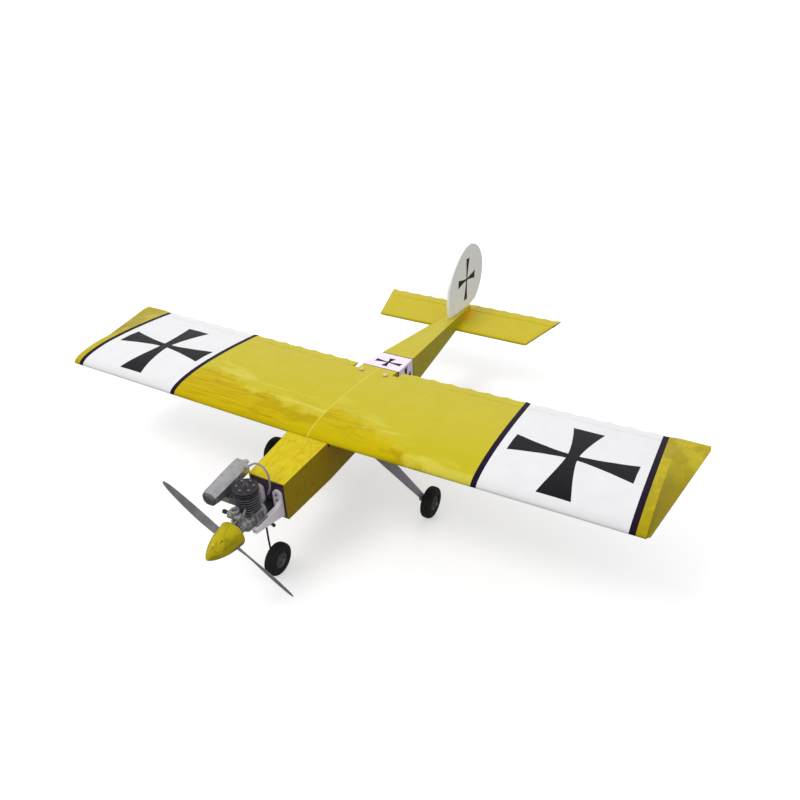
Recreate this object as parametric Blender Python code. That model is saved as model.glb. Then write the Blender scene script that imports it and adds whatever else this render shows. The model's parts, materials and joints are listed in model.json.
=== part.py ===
"""Glow-engined radio-control stick plane: box fuselage, strip ailerons, tricycle gear.

Everything is laid out in the airframe frame: X to the aircraft's left, Y aft from the
wing's leading edge, Z up from the chord plane, in metres. One empty then sets the whole
aircraft down on its three wheels, a little nose up.
"""
import bpy
import bmesh
import math
from mathutils import Matrix, Vector

# ---- stance: airframe frame to the ground frame ----
PITCH = math.radians(2.329)
SET_Y = -0.31768
SET_Z = 0.24247
GAP = 0.0003

# ---- wing ----
CHORD = 0.3264
UPPER_T = 0.1324
LOWER_T = 0.092
TE_HALF = 0.0009
DIHEDRAL = 0.0132
RIB_END = 0.7060
TIP_LE = 0.7125
TIP_TE = 0.7740
HINGE_Y = 0.2945
CENTRE_TE_Y = 0.3225
CENTRE_TE_X = 0.0475
AILERON_IN = 0.0635
AILERON_OUT = 0.7055
RIB_PITCH = 0.0465
RIB_FIRST = 0.0524
SCALLOP = 0.0062
HINGE_GAP = 0.0006
HINGE_BEVEL = 0.52
TIP_HALF = 0.0011
TIP_ROUNDING = 0.0040
BOLT_X = 0.0330
BOLT_Y = 0.2870
BOLT_R = 0.0030
BOLT_HEAD_R = 0.0062
BOLT_HEAD_H = 0.0034
BOLT_HOLE_R = 0.0033
DOWEL_X = 0.0220
DOWEL_Z = -0.0060
DOWEL_R = 0.0025
DOWEL_HOLE_R = 0.0028
DOWEL_DEPTH = 0.0260
JOINER = ((-0.0600, 0.0850, -0.0080), (0.0600, 0.0910, 0.0120))

# ---- fuselage ----
NOSE_Y = -0.1477
NOSE_TOP = -0.0041
SADDLE_TOP = 0.0017
DECK_Y = 0.3228
DECK_Z = 0.0011
DECK_FALL = 0.1243
TAIL_Y = 0.8752
SKIN = 0.0030
BELLY_Z = -0.0948
BELLY_FLAT_Y = 0.3000
BELLY_TAIL_Z = -0.0905
FIREWALL_Y = -0.1447
FIREWALL_T = 0.0060
FORMER_Y = (-0.0070, -0.0030)
FORMER_WINDOW = ((-0.030, -0.02, -0.075), (0.030, 0.02, -0.025))
PLATE_Y = (0.2660, 0.3080)
PLATE_Z = (-0.0165, -0.0115)
ELEVATOR_ROD_EXIT = ((-0.0140, 0.490, -0.11), (-0.0045, 0.600, -0.08))
RUDDER_ROD_EXIT = ((-0.035, 0.655, -0.0648), (-0.008, 0.745, -0.0572))
WIDTHS = ((NOSE_Y, 0.0435), (0.0, 0.0511), (DECK_Y, 0.0502), (TAIL_Y, 0.0096))

# ---- tail ----
STAB_LE_Y = 0.7405
STAB_TE_Y = 0.8745
STAB_T = 0.0080
STAB_Z = BELLY_TAIL_Z + STAB_T / 2
STAB_LE_SPAN = 0.2357
TAIL_RAKE = 0.265
HINGE_TAIL_Y = 0.8757
ELEVATOR_TE_Y = 0.9225
ELEVATOR_PITCH = 0.0440
ELEVATOR_FIRST = 0.0174
ELEVATOR_SCALLOP = 0.0048
ELEVATOR_HALF = 0.0038
ELEVATOR_BEVEL = 0.0034
TAIL_GAP = 0.0006
FIN_CENTRE = (0.8515, 0.0270)
FIN_RADII = (0.1240, 0.1068)
FIN_TILT = math.radians(4.5)
FIN_T = 0.0080
FIN_FOOT_Y = 0.7340
FIN_GAP = 0.0007
RUDDER_FOOT_Z = -0.0655
HORN_ARM = 0.0220
HORN_HALF = 0.0008
ROD_R = 0.0010

# ---- engine and mount ----
THRUST_Z = -0.0535
ENGINE_Y = -0.2090
BEAM_IN = 0.0215
BEAM_OUT = 0.0315
BEAM_TOP = THRUST_Z - 0.0040
BEAM_FRONT = -0.2330
CARB_Y = -0.2475
CARB_Z = -0.0205
SPINNER_R = 0.0285
SPINNER_BASE = -0.2663
SPINNER_TIP = -0.3407
PROP_Y = -0.2790
PROP_R = 0.1650
PROP_PITCH = 0.1780
PROP_ROLL = math.radians(32.5)
SHAFT_BORE_R = 0.0053
CASE_R = 0.0205
CYLINDER_R = 0.0245
HEAD_R = 0.0252
CARB_R = 0.0088
MUFFLER_MID = Vector((-0.0515, -0.2040, 0.0115))
MUFFLER_TILT = math.radians(5.0)
OUTLET_R = 0.0048
OUTLET_BORE_R = 0.0036
HOSE_R = 0.0020

# ---- undercarriage ----
WHEEL_R = 0.0380
NOSE_WHEEL_R = 0.0362
TYRE_W = 0.0260
HUB_R = 0.0176
NOSE_AXLE = (0.0160, -0.1690, -0.1996)
STRUT_Y = -0.1700
MAIN_X = 0.2225
MAIN_Y = 0.1460
MAIN_Z = -0.2106
WIRE_R = 0.0020
AXLE_HOLE_R = 0.0024
WHEEL_BORE_R = 0.0023
STRUT_BORE_R = 0.0023
LEG_T = 0.0032

YELLOW = ((0.72, 0.58, 0.02), 0.25, 0.0)
WHITE = ((0.85, 0.85, 0.86), 0.3, 0.0)
DARK_PLY = ((0.07, 0.04, 0.10), 0.6, 0.0)
PLY = ((0.62, 0.45, 0.26), 0.7, 0.0)
NYLON_WHITE = ((0.80, 0.78, 0.80), 0.45, 0.0)
NYLON_BLACK = ((0.02, 0.02, 0.02), 0.5, 0.0)
CAST = ((0.42, 0.42, 0.44), 0.45, 1.0)
DARK_METAL = ((0.06, 0.06, 0.065), 0.4, 1.0)
STEEL = ((0.35, 0.35, 0.36), 0.3, 1.0)
BRASS = ((0.65, 0.48, 0.20), 0.3, 1.0)
DURAL = ((0.36, 0.34, 0.37), 0.4, 1.0)
TYRE = ((0.015, 0.015, 0.015), 0.8, 0.0)
HUB = ((0.09, 0.09, 0.095), 0.5, 0.0)
HOSE = ((0.45, 0.44, 0.46), 0.35, 0.0)
TANK = ((0.80, 0.80, 0.76), 0.4, 0.0)
SERVO = ((0.03, 0.03, 0.035), 0.5, 0.0)
GREY_PLASTIC = ((0.30, 0.30, 0.31), 0.4, 0.0)

for stale in list(bpy.data.objects):
    bpy.data.objects.remove(stale, do_unlink=True)

SCENE = bpy.context.scene
ROOT = bpy.data.objects.new("airframe", None)
SCENE.collection.objects.link(ROOT)
ROOT.location = (0.0, SET_Y, SET_Z)
ROOT.rotation_euler = (PITCH, 0.0, 0.0)


def material(name, look):
    """One Principled material for one piece."""
    colour, rough, metal = look
    mat = bpy.data.materials.new(name)
    mat.use_nodes = True
    shader = mat.node_tree.nodes["Principled BSDF"]
    shader.inputs["Base Color"].default_value = (*colour, 1.0)
    shader.inputs["Roughness"].default_value = rough
    shader.inputs["Metallic"].default_value = metal
    return mat


def finish(name, bm, look, origin=(0.0, 0.0, 0.0), smooth=None):
    """Turn a bmesh in airframe coordinates into an object whose origin is given."""
    bmesh.ops.remove_doubles(bm, verts=bm.verts, dist=1e-7)
    bmesh.ops.recalc_face_normals(bm, faces=bm.faces)
    bmesh.ops.translate(bm, verts=bm.verts, vec=-Vector(origin))
    mesh = bpy.data.meshes.new(name)
    bm.to_mesh(mesh)
    bm.free()
    obj = bpy.data.objects.new(name, mesh)
    SCENE.collection.objects.link(obj)
    obj.parent = ROOT
    obj.location = origin
    if look is None:
        obj.hide_render = True
        obj.display_type = "WIRE"
    else:
        mesh.materials.append(material(name, look))
    if smooth is not None:
        mesh.shade_smooth()
        mesh.set_sharp_from_angle(angle=math.radians(smooth))
    return obj


def box_mesh(lo, hi, bevel=0.0, segments=1):
    bm = bmesh.new()
    bmesh.ops.create_cube(bm, size=1.0)
    size = Vector(hi) - Vector(lo)
    bmesh.ops.scale(bm, verts=bm.verts, vec=size)
    bmesh.ops.translate(bm, verts=bm.verts, vec=(Vector(hi) + Vector(lo)) / 2)
    if bevel:
        bmesh.ops.bevel(bm, geom=bm.edges[:], offset=bevel, segments=segments,
                        profile=0.5, affect="EDGES")
    return bm


def loft(rings, closed=True):
    """Bridge closed rings of points, one after the other, and cap both ends."""
    bm = bmesh.new()
    loops = []
    for ring in rings:
        verts = [bm.verts.new(p) for p in ring]
        loops.append(verts)
    count = len(rings[0])
    for a, b in zip(loops, loops[1:]):
        for i in range(count):
            j = (i + 1) % count
            bm.faces.new((a[i], a[j], b[j], b[i]))
    if closed:
        bm.faces.new(loops[0])
        bm.faces.new(loops[-1])
    return bm


AXES = {"x": Vector((1, 0, 0)), "y": Vector((0, 1, 0)), "z": Vector((0, 0, 1))}
SIDE = {"x": Vector((0, 0, 1)), "y": Vector((1, 0, 0)), "z": Vector((1, 0, 0))}


def lathe(profile, axis, centre, steps=24, ring=False):
    """Spin (radius, height) points about an axis through centre."""
    bm = bmesh.new()
    centre = Vector(centre)
    along, out = AXES[axis], SIDE[axis]
    verts = [bm.verts.new(centre + along * h + out * r) for r, h in profile]
    pairs = list(zip(verts, verts[1:]))
    if ring:
        pairs.append((verts[-1], verts[0]))
    edges = [bm.edges.new(p) for p in pairs]
    bmesh.ops.spin(bm, geom=verts + edges, cent=centre, axis=along,
                   angle=2 * math.pi, steps=steps, use_merge=True)
    bmesh.ops.remove_doubles(bm, verts=bm.verts, dist=1e-6)
    return bm


def rod(r, h0, h1, axis, centre, steps=16):
    return lathe([(0, h0), (r, h0), (r, h1), (0, h1)], axis, centre, steps)


def prism(outline, axis, lo, hi):
    """Extrude a flat outline along an axis; outline holds the other two coordinates."""
    order = {"x": lambda a, b, h: (h, a, b), "y": lambda a, b, h: (a, h, b),
             "z": lambda a, b, h: (a, b, h)}[axis]
    bm = bmesh.new()
    face = bm.faces.new([bm.verts.new(order(a, b, lo)) for a, b in outline])
    grown = bmesh.ops.extrude_face_region(bm, geom=[face])["geom"]
    moved = [g for g in grown if isinstance(g, bmesh.types.BMVert)]
    bmesh.ops.translate(bm, verts=moved, vec=AXES[axis] * (hi - lo))
    return bm


def boolean(obj, tool_mesh, operation, name):
    """Cut or join with a hidden tool shape that stays beside the object."""
    tool = finish(name, tool_mesh, None)
    mod = obj.modifiers.new(name, "BOOLEAN")
    mod.operation = operation
    mod.solver = "EXACT"
    mod.object = tool
    return tool


def cut(obj, tool_mesh, tag="cut"):
    return boolean(obj, tool_mesh, "DIFFERENCE", obj.name + "_" + tag)


def join(obj, tool_mesh, tag="join"):
    return boolean(obj, tool_mesh, "UNION", obj.name + "_" + tag)


def rounded_path(corners, radius, steps=4):
    """Replace each inner corner of a route by an arc-like curve."""
    pts = [Vector(c) for c in corners]
    route = [pts[0]]
    for before, here, after in zip(pts, pts[1:], pts[2:]):
        a = (before - here).normalized()
        b = (after - here).normalized()
        reach = min(radius, (before - here).length * 0.45, (after - here).length * 0.45)
        p, q = here + a * reach, here + b * reach
        for k in range(steps + 1):
            t = k / steps
            route.append(p * (1 - t) ** 2 + here * 2 * t * (1 - t) + q * t ** 2)
    route.append(pts[-1])
    return route


def smooth_path(points, per_span=4):
    """Catmull-Rom curve through hand-set points."""
    pts = [Vector(p) for p in points]
    full = [2 * pts[0] - pts[1]] + pts + [2 * pts[-1] - pts[-2]]
    route = []
    for i in range(1, len(full) - 2):
        p0, p1, p2, p3 = full[i - 1], full[i], full[i + 1], full[i + 2]
        for k in range(per_span):
            t = k / per_span
            route.append(0.5 * (2 * p1 + (p2 - p0) * t
                                + (2 * p0 - 5 * p1 + 4 * p2 - p3) * t ** 2
                                + (3 * p1 - p0 - 3 * p2 + p3) * t ** 3))
    route.append(pts[-1])
    return route


def tube(name, route, radius, look, origin=(0.0, 0.0, 0.0), resolution=2):
    data = bpy.data.curves.new(name, "CURVE")
    data.dimensions = "3D"
    data.bevel_depth = radius
    data.bevel_resolution = resolution
    data.use_fill_caps = True
    spline = data.splines.new("POLY")
    spline.points.add(len(route) - 1)
    for point, place in zip(spline.points, route):
        point.co = (*(Vector(place) - Vector(origin)), 1.0)
    obj = bpy.data.objects.new(name, data)
    SCENE.collection.objects.link(obj)
    obj.parent = ROOT
    obj.location = origin
    data.materials.append(material(name, look))
    return obj


# ---------------------------------------------------------------- wing
def half_thickness(y, ratio):
    """Half thickness of the section at distance y behind the leading edge."""
    c = min(max(y / CHORD, 0.0), 1.0)
    curve = (0.2969 * math.sqrt(c) - 0.1260 * c - 0.3516 * c ** 2
             + 0.2843 * c ** 3 - 0.1036 * c ** 4)
    return 5 * ratio * curve * CHORD + TE_HALF * c


def upper(y):
    return half_thickness(y, UPPER_T)


def lower(y):
    return -half_thickness(y, LOWER_T)


UPPER_STATIONS = (1.0, 0.93, 0.85, 0.75, 0.64, 0.53, 0.42, 0.31, 0.21, 0.13, 0.07,
                  0.03, 0.008)
LOWER_STATIONS = (0.0, 0.006, 0.025, 0.06, 0.12, 0.2, 0.32, 0.48, 0.65, 0.8, 0.92, 1.0)


def wing_ring(x, side):
    rise = x * DIHEDRAL
    top = [(side * x, c * CHORD, upper(c * CHORD) + rise) for c in UPPER_STATIONS]
    low = [(side * x, c * CHORD, lower(c * CHORD) + rise) for c in LOWER_STATIONS]
    return top + low


def tip_ring(side):
    """The raked tip edge: the covering runs down to it from the last rib."""
    ring = []
    stations = [(c, 1) for c in UPPER_STATIONS] + [(c, -1) for c in LOWER_STATIONS]
    for c, sign in stations:
        edge = 0.006 + (CHORD - 0.008) * c
        x = TIP_LE + (TIP_TE - TIP_LE) * c - TIP_ROUNDING * max(0.0, 1 - abs(c - 1) / 0.04)
        half = TIP_HALF * sign if 0 < c else 0.0
        ring.append((side * x, edge, half + x * DIHEDRAL))
    return ring


def wing_panel(name, side):
    rings = [wing_ring(GAP / 2, side), wing_ring(RIB_END, side), tip_ring(side)]
    panel = finish(name, loft(rings), YELLOW, smooth=40)

    def spanned(x0, x1, y0, y1, z0=-0.05, z1=0.05):
        a, b = sorted((side * x0, side * x1))
        return box_mesh((a, y0, z0), (b, y1, z1))

    behind = CHORD + 0.03
    cut(panel, spanned(CENTRE_TE_X, AILERON_OUT + HINGE_GAP, HINGE_Y, behind), "aileron_bay")
    cut(panel, spanned(-0.01, CENTRE_TE_X + 0.004, CENTRE_TE_Y, behind), "centre_edge")
    tongue_y, tongue_z = (JOINER[0][1], JOINER[1][1]), (JOINER[0][2], JOINER[1][2])
    cut(panel, spanned(-0.01, JOINER[1][0] + GAP, tongue_y[0] - GAP, tongue_y[1] + GAP,
                       tongue_z[0] - GAP, tongue_z[1] + 0.0013), "joiner_slot")
    cut(panel, rod(DOWEL_HOLE_R, -0.01, DOWEL_DEPTH + GAP, "y", (side * DOWEL_X, 0, DOWEL_Z)),
        "dowel_hole")
    cut(panel, rod(BOLT_HOLE_R, -0.05, 0.05, "z", (side * BOLT_X, BOLT_Y, 0)), "bolt_hole")
    return panel


def scallop(x, first, pitch, depth):
    """How far the trailing edge is drawn in between two ribs."""
    f = ((x - first) / pitch) % 1.0
    return depth * (1 - (2 * f - 1) ** 2)


def span_stations(start, end, first, pitch):
    """Stations at each rib and three more in each bay between."""
    found = [start, end]
    step = pitch / 4
    k = math.ceil((start - first) / step)
    while first + k * step < end:
        x = first + k * step
        if start + step * 0.3 < x < end - step * 0.3:
            found.append(x)
        k += 1
    return sorted(found)


def aileron(name, side):
    """Strip aileron hinged along its top front edge, its lower front edge bevelled."""
    front = HINGE_Y + HINGE_GAP
    depth = upper(front) - lower(front)
    rings = []
    for x in span_stations(AILERON_IN, AILERON_OUT, RIB_FIRST, RIB_PITCH):
        rise = x * DIHEDRAL
        edge = CHORD - scallop(x, RIB_FIRST, RIB_PITCH, SCALLOP)
        mid = (front + edge) / 2
        ring = [(front, upper(front)), (mid, upper(mid)), (edge, TE_HALF),
                (edge, -TE_HALF), (front + depth * HINGE_BEVEL, lower(front + 0.004))]
        rings.append([(side * x, y, z + rise) for y, z in ring])
    origin = (side * AILERON_IN, front, upper(front) + AILERON_IN * DIHEDRAL)
    return finish(name, loft(rings), YELLOW, origin=origin)


def wing_bolt(name, side):
    """Slotted nylon bolt whose head sits on the wing's upper skin."""
    centre = (side * BOLT_X, BOLT_Y, 0)
    seat = upper(BOLT_Y - 0.0065) + (BOLT_X + 0.007) * DIHEDRAL + GAP
    slot_z = seat + BOLT_HEAD_H - 0.0012
    profile = [(0, -0.0220), (BOLT_R, -0.0220), (BOLT_R, seat), (BOLT_HEAD_R, seat),
               (BOLT_HEAD_R, slot_z), (BOLT_HEAD_R - 0.0012, seat + BOLT_HEAD_H),
               (0, seat + BOLT_HEAD_H)]
    bolt = finish(name, lathe(profile, "z", centre, 16), NYLON_WHITE, smooth=40)
    slot = box_mesh((centre[0] - 0.01, BOLT_Y - 0.0006, slot_z),
                    (centre[0] + 0.01, BOLT_Y + 0.0006, 0.03))
    cut(bolt, slot, "slot")


for label, side in (("left", 1), ("right", -1)):
    wing_panel("wing_" + label, side)
    aileron("aileron_" + label, side)
    dowel = rod(DOWEL_R, -0.016, DOWEL_DEPTH, "y", (side * DOWEL_X, 0, DOWEL_Z), 12)
    finish("wing_dowel_" + label, dowel, PLY, smooth=40)
    wing_bolt("wing_bolt_" + label, side)

finish("wing_joiner", box_mesh(*JOINER), PLY)


# ---------------------------------------------------------------- fuselage
def half_width(y):
    for (y0, w0), (y1, w1) in zip(WIDTHS, WIDTHS[1:]):
        if y <= y1:
            break
    return w0 + (w1 - w0) * (y - y0) / (y1 - y0)


def deck_z(y):
    """Top line of the fuselage, without the wing."""
    if y < 0:
        return NOSE_TOP + (SADDLE_TOP - NOSE_TOP) * (y - NOSE_Y) / -NOSE_Y
    return DECK_Z - DECK_FALL * (y - DECK_Y)


def belly_z(y):
    if y < BELLY_FLAT_Y:
        return BELLY_Z
    t = (y - BELLY_FLAT_Y) / (STAB_LE_Y - BELLY_FLAT_Y)
    return BELLY_Z + (BELLY_TAIL_Z - BELLY_Z) * min(t, 1.0)


def saddle_z(y):
    """Top of a side under the wing."""
    return min(-0.0082, lower(0.012) - 0.0004) if y < 0.012 else lower(y) - 0.0006


def side_stations():
    stations = [(NOSE_Y, deck_z(NOSE_Y)), (-0.0006, deck_z(-0.0006)), (-0.0005, saddle_z(0))]
    for y in (0.012, 0.03, 0.06, 0.10, 0.15, 0.20, 0.25, BELLY_FLAT_Y, 0.3226):
        stations.append((y, saddle_z(y)))
    for y in (DECK_Y, STAB_LE_Y, TAIL_Y):
        stations.append((y, deck_z(y)))
    return stations


def fuselage_side(name, side):
    rings = []
    for y, top in side_stations():
        out = half_width(y)
        bottom = belly_z(y)
        mitred = y < 0 or y >= DECK_Y
        inner_top = top - SKIN if mitred and top > -0.08 else top
        if y == -0.0005:
            inner_top = top
        rings.append([(side * out, y, bottom), (side * out, y, top),
                      (side * (out - SKIN), y, inner_top),
                      (side * (out - SKIN), y, bottom + SKIN)])
    body = finish(name, loft(rings), YELLOW)
    cut(body, box_mesh((-0.1, STAB_LE_Y - GAP, -0.12),
                       (0.1, 0.90, BELLY_TAIL_Z + STAB_T + GAP)), "stab_seat")
    if side < 0:
        cut(body, box_mesh(*RUDDER_ROD_EXIT), "rudder_rod_exit")
    return body


def deck(name, y0, y1, top_of, look):
    """A sheet between the sides, mitred to them along its edges."""
    slack = GAP * 1.5
    rings = []
    for y in (y0, y1):
        out = half_width(y) - slack
        top = top_of(y)
        rings.append([(-out, y, top), (out, y, top), (out - SKIN, y, top - SKIN),
                      (-(out - SKIN), y, top - SKIN)])
    return finish(name, loft(rings), look)


def belly(name):
    slack = GAP * 1.5
    rings = []
    for y in (NOSE_Y, 0.0, BELLY_FLAT_Y, DECK_Y, STAB_LE_Y - GAP):
        out = half_width(y) - slack
        low = belly_z(y)
        rings.append([(-out, y, low), (out, y, low), (out - SKIN, y, low + SKIN),
                      (-(out - SKIN), y, low + SKIN)])
    body = finish(name, loft(rings), YELLOW)
    cut(body, box_mesh(*ELEVATOR_ROD_EXIT), "elevator_rod_exit")
    return body


fuselage_side("fuselage_side_left", 1)
fuselage_side("fuselage_side_right", -1)
belly("fuselage_belly")
deck("nose_deck", NOSE_Y, -0.0006, deck_z, YELLOW)
deck("rear_deck", DECK_Y, TAIL_Y, deck_z, YELLOW)

inside = half_width(FIREWALL_Y) - SKIN - GAP
firewall = finish("firewall", box_mesh((-inside, FIREWALL_Y, BELLY_Z + SKIN + GAP),
                                       (inside, FIREWALL_Y + FIREWALL_T,
                                        NOSE_TOP - SKIN - GAP)), DARK_PLY)
cut(firewall, rod(0.0026, -0.02, 0.02, "y", (0, FIREWALL_Y, -0.043), 12), "hose_hole")

inside = half_width(FORMER_Y[0]) - SKIN - 2 * GAP
former = finish("front_former", box_mesh((-inside, FORMER_Y[0], BELLY_Z + SKIN + GAP),
                                         (inside, FORMER_Y[1], SADDLE_TOP - SKIN - 2 * GAP)),
                PLY)
cut(former, box_mesh(*FORMER_WINDOW), "lightening")
for side in (1, -1):
    cut(former, rod(DOWEL_HOLE_R, -0.02, 0.02, "y", (side * DOWEL_X, 0, DOWEL_Z), 12),
        "dowel" + str(side))

inside = half_width(PLATE_Y[1]) - SKIN - 2 * GAP
plate = finish("wing_bolt_plate", box_mesh((-inside, PLATE_Y[0], PLATE_Z[0]),
                                           (inside, PLATE_Y[1], PLATE_Z[1])), PLY)
for side in (1, -1):
    cut(plate, rod(BOLT_HOLE_R, -0.05, 0.05, "z", (side * BOLT_X, BOLT_Y, 0)),
        "hole" + str(side))


# ---------------------------------------------------------------- tail
def tail_span(y):
    return STAB_LE_SPAN + TAIL_RAKE * (y - STAB_LE_Y)


def stabilizer():
    half = STAB_T / 2
    section = [(STAB_LE_Y, -0.0015), (STAB_LE_Y, 0.0015), (STAB_LE_Y + 0.003, half),
               (STAB_TE_Y, half), (STAB_TE_Y, -half), (STAB_LE_Y + 0.003, -half)]
    rings = [[(side * tail_span(y), y, STAB_Z + z) for y, z in section] for side in (-1, 1)]
    return finish("stabilizer", loft(rings), YELLOW)


def elevator():
    """One piece across the tail, bevelled to its hinge line and scalloped behind."""
    start = HINGE_TAIL_Y + TAIL_GAP
    shoulder = start + ELEVATOR_BEVEL
    tip = tail_span(start) - 0.012
    stations = [-x for x in span_stations(ELEVATOR_FIRST, tip, ELEVATOR_FIRST,
                                          ELEVATOR_PITCH)][::-1]
    stations += [-x for x in stations[::-1]]
    ends = [-1] + stations + [1]
    rings = []
    for x in ends:
        edge = ELEVATOR_TE_Y
        if abs(x) != 1:
            edge -= scallop(abs(x), ELEVATOR_FIRST, ELEVATOR_PITCH, ELEVATOR_SCALLOP)
        section = [(start, -0.0005), (start, 0.0005), (shoulder, ELEVATOR_HALF), (edge, 0.0010),
                   (edge, -0.0010), (shoulder, -ELEVATOR_HALF)]
        if abs(x) == 1:
            rings.append([(x * tail_span(y), y, STAB_Z + z) for y, z in section])
        else:
            rings.append([(x, y, STAB_Z + z) for y, z in section])
    return finish("elevator", loft(rings), YELLOW, origin=(0, HINGE_TAIL_Y, STAB_Z))


def fin_point(angle):
    """Point of the rounded outline; each quarter has its own fullness."""
    u, v = math.cos(angle), math.sin(angle)
    power = 2.0
    if u < 0:
        power = 1.62 if v > 0 else 4.0
    scale = (abs(u) ** power + abs(v) ** power) ** (-1 / power)
    y, z = FIN_RADII[0] * u * scale, FIN_RADII[1] * v * scale
    return (FIN_CENTRE[0] + y * math.cos(FIN_TILT) + z * math.sin(FIN_TILT),
            FIN_CENTRE[1] + z * math.cos(FIN_TILT) - y * math.sin(FIN_TILT))


def fin_outline(keep_front):
    """The part of the disc ahead of or behind the hinge, above the deck."""
    pts = [fin_point(math.radians(a)) for a in range(-180, 180, 6)]
    if keep_front:
        limit = HINGE_TAIL_Y - FIN_GAP
        arc = [p for p in pts if p[0] < limit - 0.002 and p[1] > deck_z(p[0]) + 0.004]
        arc.sort(key=lambda p: math.atan2(p[1] + 0.06, -(p[0] - 0.95)))
        foot = deck_z(FIN_FOOT_Y) + GAP
        top = max(p[1] for p in pts if abs(p[0] - limit) < 0.02)
        return [(FIN_FOOT_Y, foot)] + arc + [(limit, top - 0.0008),
                                             (limit, deck_z(limit) + GAP)]
    limit = HINGE_TAIL_Y + FIN_GAP
    arc = [p for p in pts if p[0] > limit + 0.004 and p[1] > -0.062]
    arc.sort(key=lambda p: math.atan2(p[1] - FIN_CENTRE[1], p[0] - FIN_CENTRE[0]))
    top = max(p[1] for p in pts if abs(p[0] - limit) < 0.02)
    return [(limit, RUDDER_FOOT_Z)] + arc + [(limit, top - 0.0008)]


def tail_plate(name, keep_front):
    outline = fin_outline(keep_front)
    bm = prism(outline, "x", -FIN_T / 2, FIN_T / 2)
    line = min(p[0] for p in outline) if not keep_front else None
    if line is not None:
        edges = [e for e in bm.edges if all(abs(v.co.y - line) < 1e-5 for v in e.verts)
                 and abs(e.verts[0].co.x - e.verts[1].co.x) < 1e-6]
        bmesh.ops.bevel(bm, geom=edges, offset=ELEVATOR_BEVEL, segments=1, affect="EDGES")
    origin = (0, HINGE_TAIL_Y, 0) if not keep_front else (0, 0, 0)
    return finish(name, bm, WHITE, origin=origin)


stabilizer()
elevator()
tail_plate("fin", True)
tail_plate("rudder", False)

# control horns and the wires that reach them
ELEV_ROD = ((0.0055, 0.187, -0.0707), (-0.0220, 0.858, STAB_Z - HORN_ARM))
RUD_ROD = ((-0.0103, 0.187, -0.0561), (-0.0245, 0.858, -0.0612))
FORK_REACH = 0.0200


def horn_place(ends):
    """Where a rod's fork straddles its horn, a little beyond the rod's end."""
    a, b = Vector(ends[0]), Vector(ends[1])
    return b + (b - a).normalized() * FORK_REACH


horn_x = horn_place(ELEV_ROD).x
horn_top = STAB_Z - 0.0038 - GAP
horn = prism([(0.8795, horn_top), (0.8955, horn_top), (0.8830, STAB_Z - HORN_ARM - 0.004),
              (0.8755, STAB_Z - HORN_ARM - 0.004)], "x", horn_x - HORN_HALF, horn_x + HORN_HALF)
finish("elevator_horn", horn, NYLON_WHITE, origin=(0, HINGE_TAIL_Y, STAB_Z))
horn_z = horn_place(RUD_ROD).z
horn = prism([(-FIN_T / 2 - GAP, 0.8815), (-FIN_T / 2 - GAP, 0.8955),
              (-0.0285, 0.8830), (-0.0285, 0.8755)], "z", horn_z - HORN_HALF, horn_z + HORN_HALF)
finish("rudder_horn", horn, NYLON_WHITE, origin=(0, HINGE_TAIL_Y, 0))


def pushrod(name, ends, plate_axis):
    """Wire with a fork at its tail end, one prong on each side of the horn."""
    a, b = Vector(ends[0]), Vector(ends[1])
    along = (b - a).normalized()
    across = AXES[plate_axis]
    across = (across - along * across.dot(along)).normalized()
    other = along.cross(across)

    def bar(start, end, half_a, half_b, shift=0.0):
        ring = [(half_a, half_b), (-half_a, half_b), (-half_a, -half_b), (half_a, -half_b)]
        rings = []
        for d in (start, end):
            rings.append([b + along * d + across * (shift + p) + other * q for p, q in ring])
        return loft(rings)

    def circle(d):
        steps = 8
        return [a + along * d + (across * math.cos(2 * math.pi * k / steps)
                                 + other * math.sin(2 * math.pi * k / steps)) * ROD_R
                for k in range(steps)]

    length = (b - a).length
    wire = finish(name, loft([circle(0.0), circle(length + 0.001)]), STEEL)
    join(wire, bar(0.0, 0.006, 0.0032, 0.0020), "fork_base")
    join(wire, bar(0.005, 0.0255, 0.0008, 0.0018, 0.0024), "prong_a")
    join(wire, bar(0.005, 0.0255, 0.0008, 0.0018, -0.0024), "prong_b")
    return wire


pushrod("elevator_pushrod", ELEV_ROD, "x")
pushrod("rudder_pushrod", RUD_ROD, "z")
for label, x, z in (("elevator_servo", 0.0160, -0.0580), ("rudder_servo", -0.0160, -0.0580)):
    case = box_mesh((x - 0.0095, 0.128, z - 0.020), (x + 0.0095, 0.168, z + 0.016), 0.001)
    servo = finish(label, case, SERVO)
    join(servo, box_mesh((x - 0.0090, 0.121, z + 0.004), (x + 0.0090, 0.1745, z + 0.0065)),
         "lugs")


# ---------------------------------------------------------------- engine
def engine_mount(name, side):
    """Flange against the firewall and the beam that carries the engine's lugs."""
    centre, half = 0.0225, 0.0110
    top, bottom = -0.0255, -0.0908
    arc = [(centre + half * math.cos(t), top - half + half * math.sin(t))
           for t in [math.pi * k / 10 for k in range(11)]]
    outline = [(side * x, z) for x, z in [(centre + half, bottom)] + arc
               + [(centre - half, bottom)]]
    body = finish(name, prism(outline, "y", FIREWALL_Y - 0.0052, FIREWALL_Y - GAP),
                  NYLON_WHITE, smooth=35)
    beam = [(FIREWALL_Y - 0.004, BEAM_TOP + 0.012), (FIREWALL_Y - 0.012, BEAM_TOP),
            (BEAM_FRONT, BEAM_TOP), (BEAM_FRONT, BEAM_TOP - 0.010),
            (FIREWALL_Y - 0.014, -0.0870), (FIREWALL_Y - 0.004, -0.0895)]
    a, b = sorted((side * BEAM_IN, side * BEAM_OUT))
    join(body, prism(beam, "x", a, b), "beam")
    return body


engine_mount("engine_mount_left", 1)
engine_mount("engine_mount_right", -1)

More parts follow.
